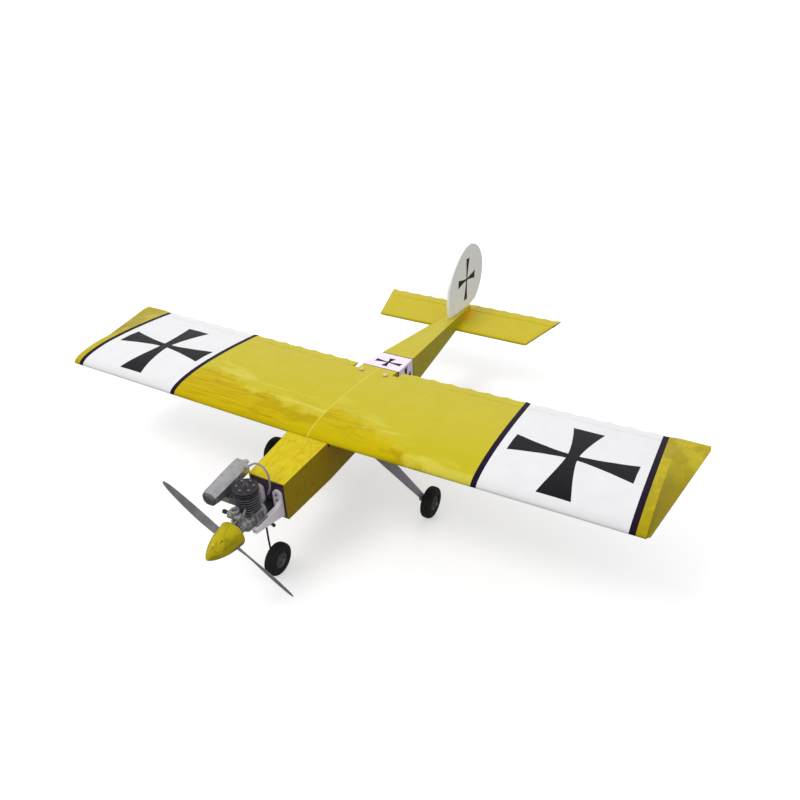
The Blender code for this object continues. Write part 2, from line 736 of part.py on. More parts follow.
AXIS = (0, 0, THRUST_Z)
crankcase = finish("crankcase", lathe([(0, -0.2580), (0.0105, -0.2580), (0.0120, -0.2480),
                                       (0.0165, -0.2340), (CASE_R, -0.2330),
                                       (CASE_R, -0.1840), (0, -0.1840)], "y", AXIS, 28),
                   CAST, smooth=35)
join(crankcase, rod(CASE_R - 0.0001, 0.0, 0.0232, "z", (0, ENGINE_Y, THRUST_Z), 28), "barrel_base")
join(crankcase, box_mesh((-0.0295, -0.2255, THRUST_Z - 0.0037),
                         (0.0295, -0.1925, THRUST_Z + 0.0023)), "lugs")
join(crankcase, rod(0.0085, 0.0, 0.0167, "z", (0, CARB_Y, THRUST_Z), 16), "carb_boss")
cut(crankcase, rod(SHAFT_BORE_R, -0.27, -0.229, "y", AXIS, 16), "shaft_bore")
finish("crankcase_cover", lathe([(0, -0.1837), (0.0195, -0.1837), (0.0195, -0.1812),
                                 (0.0150, -0.1797), (0, -0.1797)], "y", AXIS, 24),
       CAST, smooth=35)


def finned(r_out, r_in, z0, pitch, count, web):
    """Turned profile with a fin every pitch, from the bottom up."""
    pts = [(0, z0)]
    for k in range(count):
        z = z0 + k * pitch
        pts += [(r_out, z), (r_out, z + web)]
        if k < count - 1:
            pts += [(r_in, z + web), (r_in, z + pitch)]
    pts.append((0, pts[-1][1]))
    return pts


STACK = (0, ENGINE_Y, 0)
barrel = finish("cylinder", lathe(finned(CYLINDER_R, 0.0185, -0.0300, 0.0062, 7, 0.0026),
                                  "z", STACK, 24), CAST)
join(barrel, box_mesh((-0.0335, -0.2215, -0.0252), (-0.0120, -0.1965, -0.0080), 0.002),
     "exhaust_port")
head = finish("cylinder_head", lathe(finned(HEAD_R, 0.0200, 0.0103, 0.0050, 3, 0.0024),
                                     "z", STACK, 24), DARK_METAL)
cut(head, rod(0.0046, 0.0193, 0.05, "z", STACK, 16), "plug_well")
finish("glow_plug", lathe([(0, 0.0196), (0.0040, 0.0196), (0.0040, 0.0262), (0.0022, 0.0270),
                           (0.0022, 0.0302), (0.0011, 0.0306), (0.0011, 0.0338),
                           (0, 0.0338)], "z", STACK, 12), BRASS, smooth=40)

CARB = (0, CARB_Y, CARB_Z)
carb = finish("carburettor", rod(CARB_R, -0.0150, 0.0150, "x", CARB, 20), CAST, smooth=35)
join(carb, lathe([(0, 0.0), (0.0080, 0.0), (0.0080, 0.0120), (0.0092, 0.0130),
                  (0.0092, 0.0152), (0, 0.0152)], "z", CARB, 20), "intake")
join(carb, rod(0.0065, -0.0160, 0.0, "z", CARB, 16), "neck")
cut(carb, rod(0.0058, -0.0100, 0.03, "x", CARB, 16), "barrel_bore")
cut(carb, rod(0.0042, -0.0120, 0.03, "z", CARB, 16), "air_way")
throttle = finish("throttle_barrel", rod(0.0055, -0.0095, 0.0168, "x", CARB, 16),
                  STEEL, origin=CARB, smooth=35)
cut(throttle, rod(0.0040, -0.02, 0.02, "z", (0, CARB_Y, CARB_Z), 12), "air_way")
lever = [(CARB_Y - 0.0045, CARB_Z - 0.003), (CARB_Y + 0.0045, CARB_Z - 0.003),
         (CARB_Y + 0.0120, CARB_Z + 0.0110), (CARB_Y + 0.0075, CARB_Z + 0.0140)]
join(throttle, prism(lever, "x", 0.0160, 0.0182), "lever")
needle = [(0, -0.0300), (0.0042, -0.0300), (0.0042, -0.0215), (0.0018, -0.0205),
          (0.0018, -0.0153), (0, -0.0153)]
finish("needle_valve", lathe(needle, "x", CARB, 14), NYLON_BLACK, origin=CARB, smooth=35)

# crankshaft, propeller and spinner turn together
SHAFT = (0, PROP_Y, THRUST_Z)


def on_shaft(profile, steps=24, ring=False):
    return lathe(profile, "y", AXIS, steps, ring)


finish("crankshaft", on_shaft([(0, -0.2980), (0.0044, -0.2980), (0.0050, -0.2970),
                               (0.0050, -0.2628), (0.0135, -0.2628), (0.0135, -0.2592),
                               (0.0050, -0.2586), (0.0050, -0.2315), (0, -0.2315)]),
       STEEL, origin=SHAFT, smooth=35)
finish("spinner_backplate", on_shaft([(SHAFT_BORE_R, -0.2661), (0.0283, -0.2661),
                                      (0.0283, -0.2631), (SHAFT_BORE_R, -0.2631)], 28,
                                     True),
       YELLOW, origin=SHAFT, smooth=35)
nut = []
for y in (-0.2929, -0.2866):
    nut.append([(0.0085 * math.cos(math.pi * k / 3), y, THRUST_Z
                 + 0.0085 * math.sin(math.pi * k / 3)) for k in range(6)])
nut = finish("prop_nut", loft(nut), STEEL, origin=SHAFT)
cut(nut, rod(SHAFT_BORE_R, -0.30, -0.27, "y", AXIS, 16), "thread")

OGIVE = ((0.0, 1.0), (0.18, 0.955), (0.36, 0.865), (0.54, 0.735), (0.70, 0.575),
         (0.84, 0.385), (0.94, 0.20), (1.0, 0.0))


def spinner():
    """Pointed shell, open at the back, notched for the two blades."""
    wall = 0.0015
    length = SPINNER_TIP - SPINNER_BASE
    skin = [(SPINNER_R * k, SPINNER_BASE + length * s) for s, k in OGIVE]
    lining = [((SPINNER_R - wall) * k, SPINNER_BASE + (length + 0.004) * s)
              for s, k in OGIVE]
    shell = finish("spinner", on_shaft(lining[::-1] + skin, 28), YELLOW, origin=SHAFT,
                   smooth=50)
    for side in (-1, 1):
        notch = box_mesh((0.012, -0.2877, -0.0088), (0.05, -0.2600, 0.0088))
        turn = Matrix.Rotation(PROP_ROLL + (math.pi if side < 0 else 0), 4, "Y")
        bmesh.ops.transform(notch, matrix=turn, verts=notch.verts)
        bmesh.ops.translate(notch, verts=notch.verts, vec=AXIS)
        cut(shell, notch, "notch" + str(side))
    return shell


BLADE = ((0.006, 0.0140, 0.0110), (0.022, 0.0150, 0.0085), (0.036, 0.0168, 0.0068),
         (0.055, 0.0196, 0.0055), (0.080, 0.0218, 0.0044), (0.105, 0.0216, 0.0035),
         (0.130, 0.0192, 0.0027), (0.150, 0.0152, 0.0021), (0.161, 0.0105, 0.0016),
         (PROP_R, 0.0050, 0.0012))


def blade_mesh(side):
    """One blade, twisted to a constant pitch; the leading edge is the forward one."""
    turn = PROP_ROLL + (math.pi if side < 0 else 0.0)
    out = Vector((math.cos(turn), 0, -math.sin(turn)))
    swing = Vector((math.sin(turn), 0, math.cos(turn)))
    rings = []
    for r, width, thick in BLADE:
        angle = min(math.atan2(PROP_PITCH, 2 * math.pi * r), math.radians(42))
        lead = swing * math.cos(angle) + Vector((0, -math.sin(angle), 0))
        face = lead.cross(out).normalized()
        ring = []
        for k in range(8):
            t = 2 * math.pi * k / 8
            ring.append(Vector(SHAFT) + out * r + lead * (width / 2 * math.cos(t))
                        + face * (thick / 2 * math.sin(t)))
        rings.append(ring)
    return loft(rings)


propeller = finish("propeller", rod(0.0125, -0.2863, -0.2664, "y", AXIS, 24),
                   GREY_PLASTIC, origin=SHAFT, smooth=35)
join(propeller, blade_mesh(1), "blade_a")
join(propeller, blade_mesh(-1), "blade_b")
cut(propeller, rod(SHAFT_BORE_R, -0.30, -0.25, "y", AXIS, 16), "shaft_hole")
spinner()

# exhaust
manifold = finish("exhaust_manifold", box_mesh((-0.0600, -0.2225, -0.0260),
                                               (-0.0338, -0.1955, -0.0098), 0.0025), CAST)


def muffler_ring(d, half_x, half_z):
    """Eight-sided section across the can, d along its axis from the middle."""
    ring = []
    for sx, sz in ((1, .45), (.45, 1), (-.45, 1), (-1, .45), (-1, -.45), (-.45, -1),
                   (.45, -1), (1, -.45)):
        p = Vector((sx * half_x, d, sz * half_z))
        ring.append(MUFFLER_MID + Matrix.Rotation(MUFFLER_TILT, 3, "X") @ p)
    return ring


SECTIONS = ((-0.0570, 0.0090, 0.0090), (-0.0550, 0.0128, 0.0128), (-0.0510, 0.0152, 0.0152),
            (-0.0420, 0.0168, 0.0168), (0.0100, 0.0182, 0.0182), (0.0470, 0.0182, 0.0182),
            (0.0520, 0.0150, 0.0150))
muffler = finish("muffler", loft([muffler_ring(*s) for s in SECTIONS]), CAST, smooth=30)
join(muffler, loft([muffler_ring(0.050, OUTLET_R, OUTLET_R), muffler_ring(0.066, OUTLET_R, OUTLET_R)]),
     "outlet")
cut(muffler, loft([muffler_ring(d, OUTLET_BORE_R, OUTLET_BORE_R) for d in (0.054, 0.070)]),
    "outlet_bore")
HOSE_ROUTE = ((-0.0300, -0.1640, 0.0240), (-0.0235, -0.1590, 0.0312), (-0.0120, -0.1560, 0.0362),
              (0.0030, -0.1560, 0.0335), (0.0130, -0.1570, 0.0220), (0.0165, -0.1580, 0.0060),
              (0.0160, -0.1585, -0.0110), (0.0105, -0.1575, -0.0260), (0.0035, -0.1530, -0.0385),
              (0.0000, -0.1452 - GAP, -0.0430))
tube("pressure_hose", smooth_path(HOSE_ROUTE, 3), HOSE_R, HOSE)

tank = box_mesh((-0.0290, -0.1280, -0.0830), (0.0290, -0.0180, -0.0360), 0.008, 2)
finish("fuel_tank", tank, TANK, smooth=50)

# ---------------------------------------------------------------- nose gear
bracket = finish("nose_gear_bracket", box_mesh((-0.0100, -0.1780, -0.0912),
                                               (0.0100, FIREWALL_Y - GAP, -0.0620), 0.0015),
                 NYLON_BLACK)
cut(bracket, rod(STRUT_BORE_R, -0.11, -0.04, "z", (0, STRUT_Y, 0), 12), "strut_bore")
PIVOT = (0, STRUT_Y, 0)
ax, ay, az = NOSE_AXLE
STRUT = ((0, STRUT_Y, -0.0560), (0, STRUT_Y, -0.1500), (0, ay, -0.1800), (0, ay, az),
         (ax + 0.0165, ay, az))
tube("nose_strut", rounded_path(STRUT, 0.003), WIRE_R, STEEL, origin=PIVOT)
arm = finish("steering_arm", lathe([(STRUT_BORE_R, -0.1035), (0.0056, -0.1035), (0.0056, -0.0965),
                                    (STRUT_BORE_R, -0.0965)], "z", PIVOT, 16, True),
             NYLON_BLACK, origin=PIVOT, smooth=40)
join(arm, box_mesh((0.0040, STRUT_Y - 0.003, -0.1020), (0.0240, STRUT_Y + 0.003, -0.0985)),
     "arm")


# ---------------------------------------------------------------- wheels
def hub_profile(bore):
    half = TYRE_W / 2
    return [(bore, -half + 0.0005), (0.0050, -half + 0.0005), (0.0065, -half + 0.0030),
            (0.0150, -half + 0.0045), (HUB_R - 0.0003, -half + 0.0025),
            (HUB_R - 0.0003, half - 0.0025), (0.0150, half - 0.0045),
            (0.0065, half - 0.0030), (0.0050, half - 0.0005), (bore, half - 0.0005)]


def tyre_profile(radius):
    half = TYRE_W / 2
    outer = [(HUB_R, -half + 0.0045), (HUB_R + 0.0040, -half + 0.0010),
             (radius - 0.0110, -half), (radius - 0.0055, -half + 0.0022),
             (radius - 0.0015, -half + 0.0065), (radius, -0.0025)]
    return outer + [(r, -h) for r, h in outer[::-1]]


def wheel(hub_name, tyre_name, centre, bore, radius=WHEEL_R):
    finish(hub_name, lathe(hub_profile(bore), "x", centre, 22, True), HUB,
           origin=centre, smooth=35)
    finish(tyre_name, lathe(tyre_profile(radius), "x", centre, 28, True), TYRE,
           origin=centre, smooth=50)


wheel("nose_hub", "nose_tyre", NOSE_AXLE, WHEEL_BORE_R, NOSE_WHEEL_R)


def gear_leg(name, side):
    """Bent strap: a foot under the belly, a sloping leg and an upright axle tab."""
    mid = BELLY_Z - GAP - LEG_T / 2
    route = ((0.0040, mid, 0.1340, 0.1780), (0.0440, mid, 0.1340, 0.1780),
             (0.0500, mid - 0.0020, 0.1342, 0.1775),
             (0.1960, -0.1995, 0.1385, 0.1590), (0.2022, -0.2055, 0.1387, 0.1575),
             (0.2030, -0.2140, 0.1400, 0.1550), (0.2030, -0.2190, 0.1435, 0.1515))
    rings = []
    for i, (x, z, front, rear) in enumerate(route):
        before = route[max(i - 1, 0)]
        after = route[min(i + 1, len(route) - 1)]
        run = Vector((after[0] - before[0], after[1] - before[1])).normalized()
        nx, nz = -run.y * LEG_T / 2, run.x * LEG_T / 2
        rings.append([(side * (x + nx), front, z + nz), (side * (x + nx), rear, z + nz),
                      (side * (x - nx), rear, z - nz), (side * (x - nx), front, z - nz)])
    leg = finish(name, loft(rings), DURAL)
    near, far = sorted((side * 0.15, side * 0.25))
    cut(leg, rod(AXLE_HOLE_R, near, far, "x", (0, MAIN_Y, MAIN_Z), 12), "axle_hole")
    return leg


def main_axle(name, side):
    """Bolt through the leg, locked by a nut on each side of it, with a retaining head."""
    r = WIRE_R
    profile = [(0, 0.1925), (r, 0.1925), (r, 0.1948), (0.0046, 0.1948), (0.0046, 0.1998),
               (r, 0.1998), (r, 0.2060), (0.0046, 0.2060), (0.0046, 0.2090), (r, 0.2090),
               (r, 0.2360), (0.0042, 0.2360), (0.0042, 0.2385), (0, 0.2385)]
    turned = [(rr, side * h) for rr, h in profile]
    return finish(name, lathe(turned, "x", (0, MAIN_Y, MAIN_Z), 12), STEEL, smooth=35)


for label, side in (("left", 1), ("right", -1)):
    gear_leg("main_gear_leg_" + label, side)
    main_axle("main_axle_" + label, side)
    wheel("main_hub_" + label, "main_tyre_" + label, (side * MAIN_X, MAIN_Y, MAIN_Z),
          WHEEL_BORE_R)
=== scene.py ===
"""Looks of the stick plane: film-covered surfaces, engine castings, wheels, light and camera.

Pieces are modelled in the airframe frame (X towards the left wing tip, Y aft from the wing's
leading edge, Z up from the chord plane, in metres) and stood on the ground by STANCE.
"""
import json
import math

import bmesh
import bpy
from mathutils import Matrix, Vector, noise


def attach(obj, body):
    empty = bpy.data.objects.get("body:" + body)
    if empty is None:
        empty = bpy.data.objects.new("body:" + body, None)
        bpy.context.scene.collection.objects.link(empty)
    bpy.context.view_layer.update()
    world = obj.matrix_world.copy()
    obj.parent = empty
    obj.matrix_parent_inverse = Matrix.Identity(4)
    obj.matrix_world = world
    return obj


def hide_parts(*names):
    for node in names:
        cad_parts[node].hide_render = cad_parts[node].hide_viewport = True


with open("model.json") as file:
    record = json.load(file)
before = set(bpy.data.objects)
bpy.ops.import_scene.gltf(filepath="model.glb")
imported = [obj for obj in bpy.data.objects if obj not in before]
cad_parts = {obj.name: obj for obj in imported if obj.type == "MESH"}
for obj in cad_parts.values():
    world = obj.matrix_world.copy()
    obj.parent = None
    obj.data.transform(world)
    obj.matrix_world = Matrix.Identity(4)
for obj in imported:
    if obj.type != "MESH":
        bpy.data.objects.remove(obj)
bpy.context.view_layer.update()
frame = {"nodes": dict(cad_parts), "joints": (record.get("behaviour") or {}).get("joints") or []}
JOINTS = {joint["name"]: joint for joint in frame["joints"]}

# ---- stance, read from the propeller's joint: its axis is the airframe's Y axis ----
THRUST_Z = -0.0535
PROP_Y = -0.2790
AFT = Vector(JOINTS["propeller_spin"]["axis"]).normalized()
TURN = Matrix((Vector((1, 0, 0)), AFT, Vector((1, 0, 0)).cross(AFT))).transposed()
PLACE = Vector(JOINTS["propeller_spin"]["pos_m"]) - TURN @ Vector((0, PROP_Y, THRUST_Z))
STANCE = Matrix.Translation(PLACE) @ TURN.to_4x4()

# ---- camera, in the airframe frame ----
VIEW_AZIMUTH = 28.473
VIEW_ELEVATION = 33.138
VIEW_DISTANCE = 1.6813
VIEW_TARGET = Vector((0.0918, 0.2500, -0.0247))
VIEW_ROLL = -1.49
LENS = 31.949
SENSOR = 36.0

# ---- wing ----
CHORD = 0.3264
UPPER_T = 0.1324
LOWER_T = 0.0920
TE_HALF = 0.0009
DIHEDRAL = 0.0132
RIB_END = 0.7060
TIP_LE = 0.7125
TIP_TE = 0.7740
HINGE_Y = 0.2945
CENTRE_TE_Y = 0.3225
CENTRE_TE_X = 0.0475
AILERON_IN = 0.0635
AILERON_OUT = 0.7055
RIB_PITCH = 0.0465
RIB_FIRST = 0.0524
SCALLOP = 0.0062
HINGE_GAP = 0.0006
HINGE_LAP = 0.0004
SHEETING_Y = 0.0950
SAG = 0.0004
BAND_IN = 0.3817
BAND_OUT = 0.6823
BAND_WIDTH = 0.0120
TIP_START_Y = 0.0060
TIP_END_Y = CHORD - 0.0020
TIP_EDGE_HALF = 0.0011
WING_BOLT = (0.0330, 0.2870)

# ---- fuselage ----
GAP = 0.0003
SKIN = 0.0030
NOSE_Y = -0.1477
NOSE_TOP = -0.0041
SADDLE_TOP = 0.0017
DECK_END_Y = -0.0006
SADDLE_STEP = (0.0120, -0.0090)
DECK_Y = 0.3228
DECK_Z = 0.0011
DECK_FALL = 0.1243
TAIL_Y = 0.8752
BELLY_Z = -0.0948
BELLY_FLAT_Y = 0.3000
BELLY_TAIL_Z = -0.0905
WIDTHS = ((NOSE_Y, 0.0435), (0.0, 0.0511), (DECK_Y, 0.0502), (TAIL_Y, 0.0096))
BLOCK_END_Y = 0.4146
BLOCK_LINE = 0.0035

# ---- tail ----
STAB_LE_Y = 0.7405
STAB_TE_Y = 0.8745
STAB_T = 0.0080
STAB_Z = BELLY_TAIL_Z + STAB_T / 2
STAB_LE_SPAN = 0.2357
TAIL_RAKE = 0.265
HINGE_TAIL_Y = 0.8757
ELEVATOR_TE_Y = 0.9225
ELEVATOR_PITCH = 0.0440
ELEVATOR_FIRST = 0.0174
ELEVATOR_SCALLOP = 0.0048
FIN_CENTRE = (0.8515, 0.0270)
FIN_RADII = (0.1240, 0.1068)
FIN_TILT = math.radians(4.5)
FIN_T = 0.0080
FIN_FOOT_Y = 0.7340
FIN_HINGE_GAP = 0.0007
RUDDER_BEVEL = 0.0034
RUDDER_FOOT_Z = -0.0655

# ---- engine ----
ENGINE_Y = -0.2090
FIREWALL_Y = -0.1447
BEAM_IN = 0.0215
BEAM_OUT = 0.0315
BEAM_TOP = THRUST_Z - 0.0040
BEAM_FRONT = -0.2330
CARB_Y = -0.2475
CARB_Z = -0.0205
SPINNER_R = 0.0285
SPINNER_BASE = -0.2663
SPINNER_TIP = -0.3407
PROP_R = 0.1650
PROP_PITCH = 0.1780
PROP_ROLL = math.radians(32.5)
BLADE_SWEEP = 0.0024
PROP_BORE = 0.0053

# ---- undercarriage ----
WHEEL_R = 0.0380
NOSE_WHEEL_R = 0.0362
TYRE_W = 0.0260
HUB_R = 0.0176
SHOULDER_R = 0.0240
NOSE_AXLE = Vector((0.0160, -0.1690, -0.1996))
STRUT_Y = -0.1700
WIRE_R = 0.0020
MAIN_AXLE = Vector((0.2225, 0.1460, -0.2106))
LEG_T = 0.0032
LEG_BEND_X = 0.0490
LEG_TAB_X = 0.2030
LEG_ROOT_Y = (0.1340, 0.1780)
LEG_END_Y = (0.1395, 0.1565)
LEG_TAB_Y = (0.1435, 0.1520)


# ================================================================ camera
def add_camera():
    azimuth, elevation = math.radians(VIEW_AZIMUTH), math.radians(VIEW_ELEVATION)
    back = Vector((math.sin(azimuth) * math.cos(elevation),
                   -math.cos(azimuth) * math.cos(elevation), math.sin(elevation)))
    right = Vector((0, 0, 1)).cross(back).normalized()
    up = back.cross(right)
    turn = Matrix((right, up, back)).transposed() @ Matrix.Rotation(math.radians(VIEW_ROLL), 3, "Z")
    data = bpy.data.cameras.new("camera")
    data.lens = LENS
    data.sensor_width = SENSOR
    data.clip_start = 0.05
    data.clip_end = 200.0
    camera = bpy.data.objects.new("camera", data)
    bpy.context.scene.collection.objects.link(camera)
    camera.matrix_world = STANCE @ Matrix.Translation(VIEW_TARGET + back * VIEW_DISTANCE) @ turn.to_4x4()
    bpy.context.scene.camera = camera


add_camera()


# ================================================================ materials
def set_inputs(node, values):
    for name, value in values.items():
        node.inputs[name].default_value = value


class Look:
    """A Principled material and short ways to vary it over its surface."""

    def __init__(self, name, colour, roughness, metallic=0.0, coat=0.0, coat_roughness=0.05):
        self.material = bpy.data.materials.new(name)
        self.material.use_nodes = True
        self.nodes = self.material.node_tree.nodes
        self.links = self.material.node_tree.links
        self.shader = self.nodes["Principled BSDF"]
        self.colour = (*colour, 1.0)
        set_inputs(self.shader, {"Base Color": self.colour, "Roughness": roughness,
                                 "Metallic": metallic, "Coat Weight": coat,
                                 "Coat Roughness": coat_roughness})
        self.bump_chain = None

    def where(self, stretch):
        """Object coordinates, stretched to the given scales along X, Y and Z."""
        coordinates = self.nodes.new("ShaderNodeTexCoord")
        mapping = self.nodes.new("ShaderNodeMapping")
        mapping.inputs["Scale"].default_value = stretch
        self.links.new(coordinates.outputs["Object"], mapping.inputs["Vector"])
        return mapping.outputs["Vector"]

    def noise(self, stretch, detail=4.0, distortion=0.0):
        texture = self.nodes.new("ShaderNodeTexNoise")
        set_inputs(texture, {"Scale": 1.0, "Detail": detail, "Roughness": 0.55,
                             "Distortion": distortion})
        self.links.new(self.where(stretch), texture.inputs["Vector"])
        return texture.outputs["Fac"]

    def spread(self, value, low, high, to_low=0.0, to_high=1.0):
        """Map a value from one range to another and hold it at the ends."""
        node = self.nodes.new("ShaderNodeMapRange")
        set_inputs(node, {"From Min": low, "From Max": high, "To Min": to_low, "To Max": to_high})
        self.links.new(value, node.inputs["Value"])
        return node.outputs["Result"]

    def combine(self, operation, values):
        """Chain a two-input operation over several values."""
        result = values[0]
        for value in values[1:]:
            node = self.nodes.new("ShaderNodeMath")
            node.operation = operation
            self.links.new(result, node.inputs[0])
            self.links.new(value, node.inputs[1])
            result = node.outputs["Value"]
        return result

    def times(self, *values):
        return self.combine("MULTIPLY", values)

    def plus(self, *values):
        return self.combine("ADD", values)

    def axis(self, name):
        """One of the object's own coordinates."""
        coordinates = self.nodes.new("ShaderNodeTexCoord")
        split = self.nodes.new("ShaderNodeSeparateXYZ")
        self.links.new(coordinates.outputs["Object"], split.inputs["Vector"])
        return split.outputs[name]

    def tint(self, factor, colour):
        """Blend the base colour so far towards another one."""
        mix = self.nodes.new("ShaderNodeMix")
        mix.data_type = "RGBA"
        before = self.shader.inputs["Base Color"]
        if before.is_linked:
            self.links.new(before.links[0].from_socket, mix.inputs["A"])
        else:
            mix.inputs["A"].default_value = self.colour
        mix.inputs["B"].default_value = (*colour, 1.0)
        self.links.new(factor, mix.inputs["Factor"])
        self.links.new(mix.outputs["Result"], before)
        return self

    def gloss(self, value, low, high):
        """Let the roughness wander between two values."""
        self.links.new(self.spread(value, 0.3, 0.7, low, high), self.shader.inputs["Roughness"])
        return self

    def bump(self, height, strength, distance):
        """Add fine relief on top of any relief that is there already."""
        node = self.nodes.new("ShaderNodeBump")
        set_inputs(node, {"Strength": strength, "Distance": distance})
        self.links.new(height, node.inputs["Height"])
        if self.bump_chain:
            self.links.new(self.bump_chain, node.inputs["Normal"])
        self.bump_chain = node.outputs["Normal"]
        self.links.new(self.bump_chain, self.shader.inputs["Normal"])
        return self


def film(name, colour, worn, deep, gloss=0.35, sheen=None):
    """Iron-on covering: a glossy skin, long soft wrinkles along the span, faint mottling."""
    look = Look(name, colour, 0.34, coat=gloss * 0.5, coat_roughness=0.12)
    set_inputs(look.shader, {"Specular IOR Level": gloss})
    if sheen:
        set_inputs(look.shader, {"Specular Tint": (*sheen, 1.0), "Coat Tint": (*sheen, 1.0)})
    wrinkles = look.noise((5, 60, 60), 3.0, 0.6)
    mottle = look.noise((26, 30, 30), 4.0)
    look.tint(look.spread(mottle, 0.35, 0.75, 0.0, 0.5), worn)
    look.tint(look.spread(look.noise((3, 34, 34), 5.0, 1.2), 0.54, 0.78, 0.0, 0.6), deep)
    look.gloss(mottle, 0.26, 0.42)
    look.bump(wrinkles, 0.35, 0.0012)
    look.bump(look.noise((220, 420, 420), 2.0), 0.10, 0.0002)
    return look


# Colours of the painted reflection of the surroundings on the front of the wing.
REFLECTED_AMBER = (0.54, 0.41, 0.001)
REFLECTED_OLIVE = (0.36, 0.265, 0.001)
REFLECTED_WOOD = (0.40, 0.235, 0.002)
REFLECTED_PALE = (0.66, 0.60, 0.10)


def painted_front_reflection(look, reach, slope):
    """Painted reflection on the nose of the wing: amber, its rear border slanting, with long streaks of
    reflected wood.
    """
    slant = look.spread(look.axis("X"), -0.40, 0.40, -0.40 * slope, 0.40 * slope)
    drift = look.spread(look.noise((6, 1, 1), 3.0), 0.3, 0.7, -0.022, 0.022)
    fray = look.spread(look.noise((34, 18, 18), 5.0, 1.0), 0.3, 0.7, -0.012, 0.012)
    depth = look.plus(look.axis("Y"), slant, look.plus(drift, fray))
    front = look.spread(depth, reach + 0.014, reach - 0.004)
    look.tint(look.spread(front, 0.0, 1.0, 0.0, 0.80), REFLECTED_AMBER)
    olive = look.spread(look.noise((8, 40, 40), 5.0, 1.2), 0.50, 0.60, 0.0, 0.6)
    back_edge = look.spread(depth, reach - 0.050, reach - 0.015)
    look.tint(look.times(olive, back_edge, front), REFLECTED_OLIVE)
    threads = look.spread(look.noise((5, 170, 170), 6.0, 1.8), 0.47, 0.60, 0.0, 0.85)
    patch = look.spread(look.noise((6, 10, 10), 3.0, 0.5), 0.44, 0.58)
    look.tint(look.times(threads, patch, front), REFLECTED_WOOD)
    pale = look.times(look.spread(depth, reach + 0.060, reach + 0.035),
                      look.spread(depth, reach - 0.004, reach + 0.016))
    fine = look.spread(look.noise((6, 34, 34), 4.0, 1.0), 0.46, 0.60, 0.0, 0.6)
    look.tint(look.times(fine, pale), REFLECTED_PALE)
    for name, ahead in (("Specular IOR Level", 0.10), ("Coat Weight", 0.02)):
        socket = look.shader.inputs[name]
        look.links.new(look.spread(front, 0.0, 1.0, socket.default_value, ahead), socket)
    return look


def mottled_tip(look, share, dark):
    """Darker blotches where the film is gathered over the tip block."""
    blotch = look.spread(look.noise((17, 13, 13), 3.0, 0.6), 0.45, 0.54, 0.0, share)
    small = look.spread(look.noise((70, 60, 60), 4.0, 0.8), 0.50, 0.62, 0.0, share * 0.6)
    return look.tint(blotch, dark).tint(small, dark)


def speckled(look, share, colour):
    """Small uneven flecks where the wood under the film shows through."""
    fleck = look.spread(look.noise((70, 110, 70), 5.0, 1.0), 0.48, 0.64, 0.0, share)
    cloud = look.spread(look.noise((9, 14, 22), 3.0), 0.40, 0.60, 0.25, 1.0)
    return look.tint(look.times(fleck, cloud), colour)


def dark_seams(look, width, share, dark):
    """Film lapped over the front edge and the raked tips of the tailplane reads darker there."""
    corner = STAB_LE_SPAN - TAIL_RAKE * STAB_LE_Y
    look.tint(look.spread(look.axis("Y"), STAB_LE_Y + width, STAB_LE_Y + width / 2, 0.0, share), dark)
    for side in (1, -1):
        raked = look.spread(look.axis("Y"), 0.0, 1.0, 0.0, -side * TAIL_RAKE)
        outwards = look.plus(look.axis("X"), raked)
        look.tint(look.spread(outwards, side * (corner - width), side * (corner - width / 2),
                              0.0, share), dark)
    return look


def painted_root_reflection(look, side_x, share, colour):
    """Painted reflection, amber, on the left of the tail where the tailplane meets the fuselage side."""
    edges = (("X", side_x + 0.030, side_x + 0.006), ("X", 0.0, 0.002),
             ("Y", 0.790, 0.835), ("Y", 0.880, 0.870))
    within = look.times(*[look.spread(look.axis(axis), none, full) for axis, none, full in edges])
    return look.tint(look.spread(within, 0.0, 1.0, 0.0, share), colour)


def plastic(name, colour, worn, roughness=0.45, grain=900.0):
    look = Look(name, colour, roughness)
    cloud = look.noise((60, 60, 60), 4.0)
    look.tint(look.spread(cloud, 0.4, 0.75, 0.0, 0.6), worn)
    look.gloss(cloud, roughness - 0.08, roughness + 0.12)
    look.bump(look.noise((grain,) * 3, 2.0), 0.25, 0.0002)
    return look.material


def gloss_with_painted_reflections(name, colour, dark, bright):
    """Glossy painted plastic with patches of painted dark reflection and shade, and streaks of painted
    highlight.
    """
    look = Look(name, colour, 0.24, coat=0.12)
    set_inputs(look.shader, {"Specular IOR Level": 0.35, "Specular Tint": (1.0, 0.92, 0.25, 1.0)})
    dark_reflection = look.noise((45, 22, 45), 4.0, 0.8)
    look.tint(look.spread(dark_reflection, 0.45, 0.68, 0.0, 0.75), dark)
    look.tint(look.spread(look.noise((95, 30, 95), 5.0, 1.4), 0.55, 0.68, 0.0, 0.6), bright)
    look.gloss(dark_reflection, 0.18, 0.36)
    look.bump(look.noise((500,) * 3, 2.0), 0.12, 0.0002)
    return look.material


def casting(name, colour, dark, roughness=0.42, dents=0.2):
    """Bead-blasted aluminium casting with oily blotches."""
    look = Look(name, colour, roughness, metallic=0.85)
    blotch = look.noise((130, 130, 130), 5.0, 0.8)
    look.tint(look.spread(blotch, 0.45, 0.72, 0.0, 0.8), dark)
    look.gloss(blotch, roughness - 0.1, roughness + 0.15)
    look.bump(look.noise((1400,) * 3, 3.0), 0.4, 0.0002)
    look.bump(look.noise((160,) * 3, 2.0), dents, 0.0005)
    return look.material


def brushed(name, colour, dark, roughness=0.3, along=(20, 900, 900)):
    look = Look(name, colour, roughness, metallic=0.95)
    lines = look.noise(along, 3.0)
    look.tint(look.spread(lines, 0.4, 0.7, 0.0, 0.7), dark)
    look.gloss(lines, roughness - 0.08, roughness + 0.15)
    look.bump(lines, 0.15, 0.0002)
    return look.material


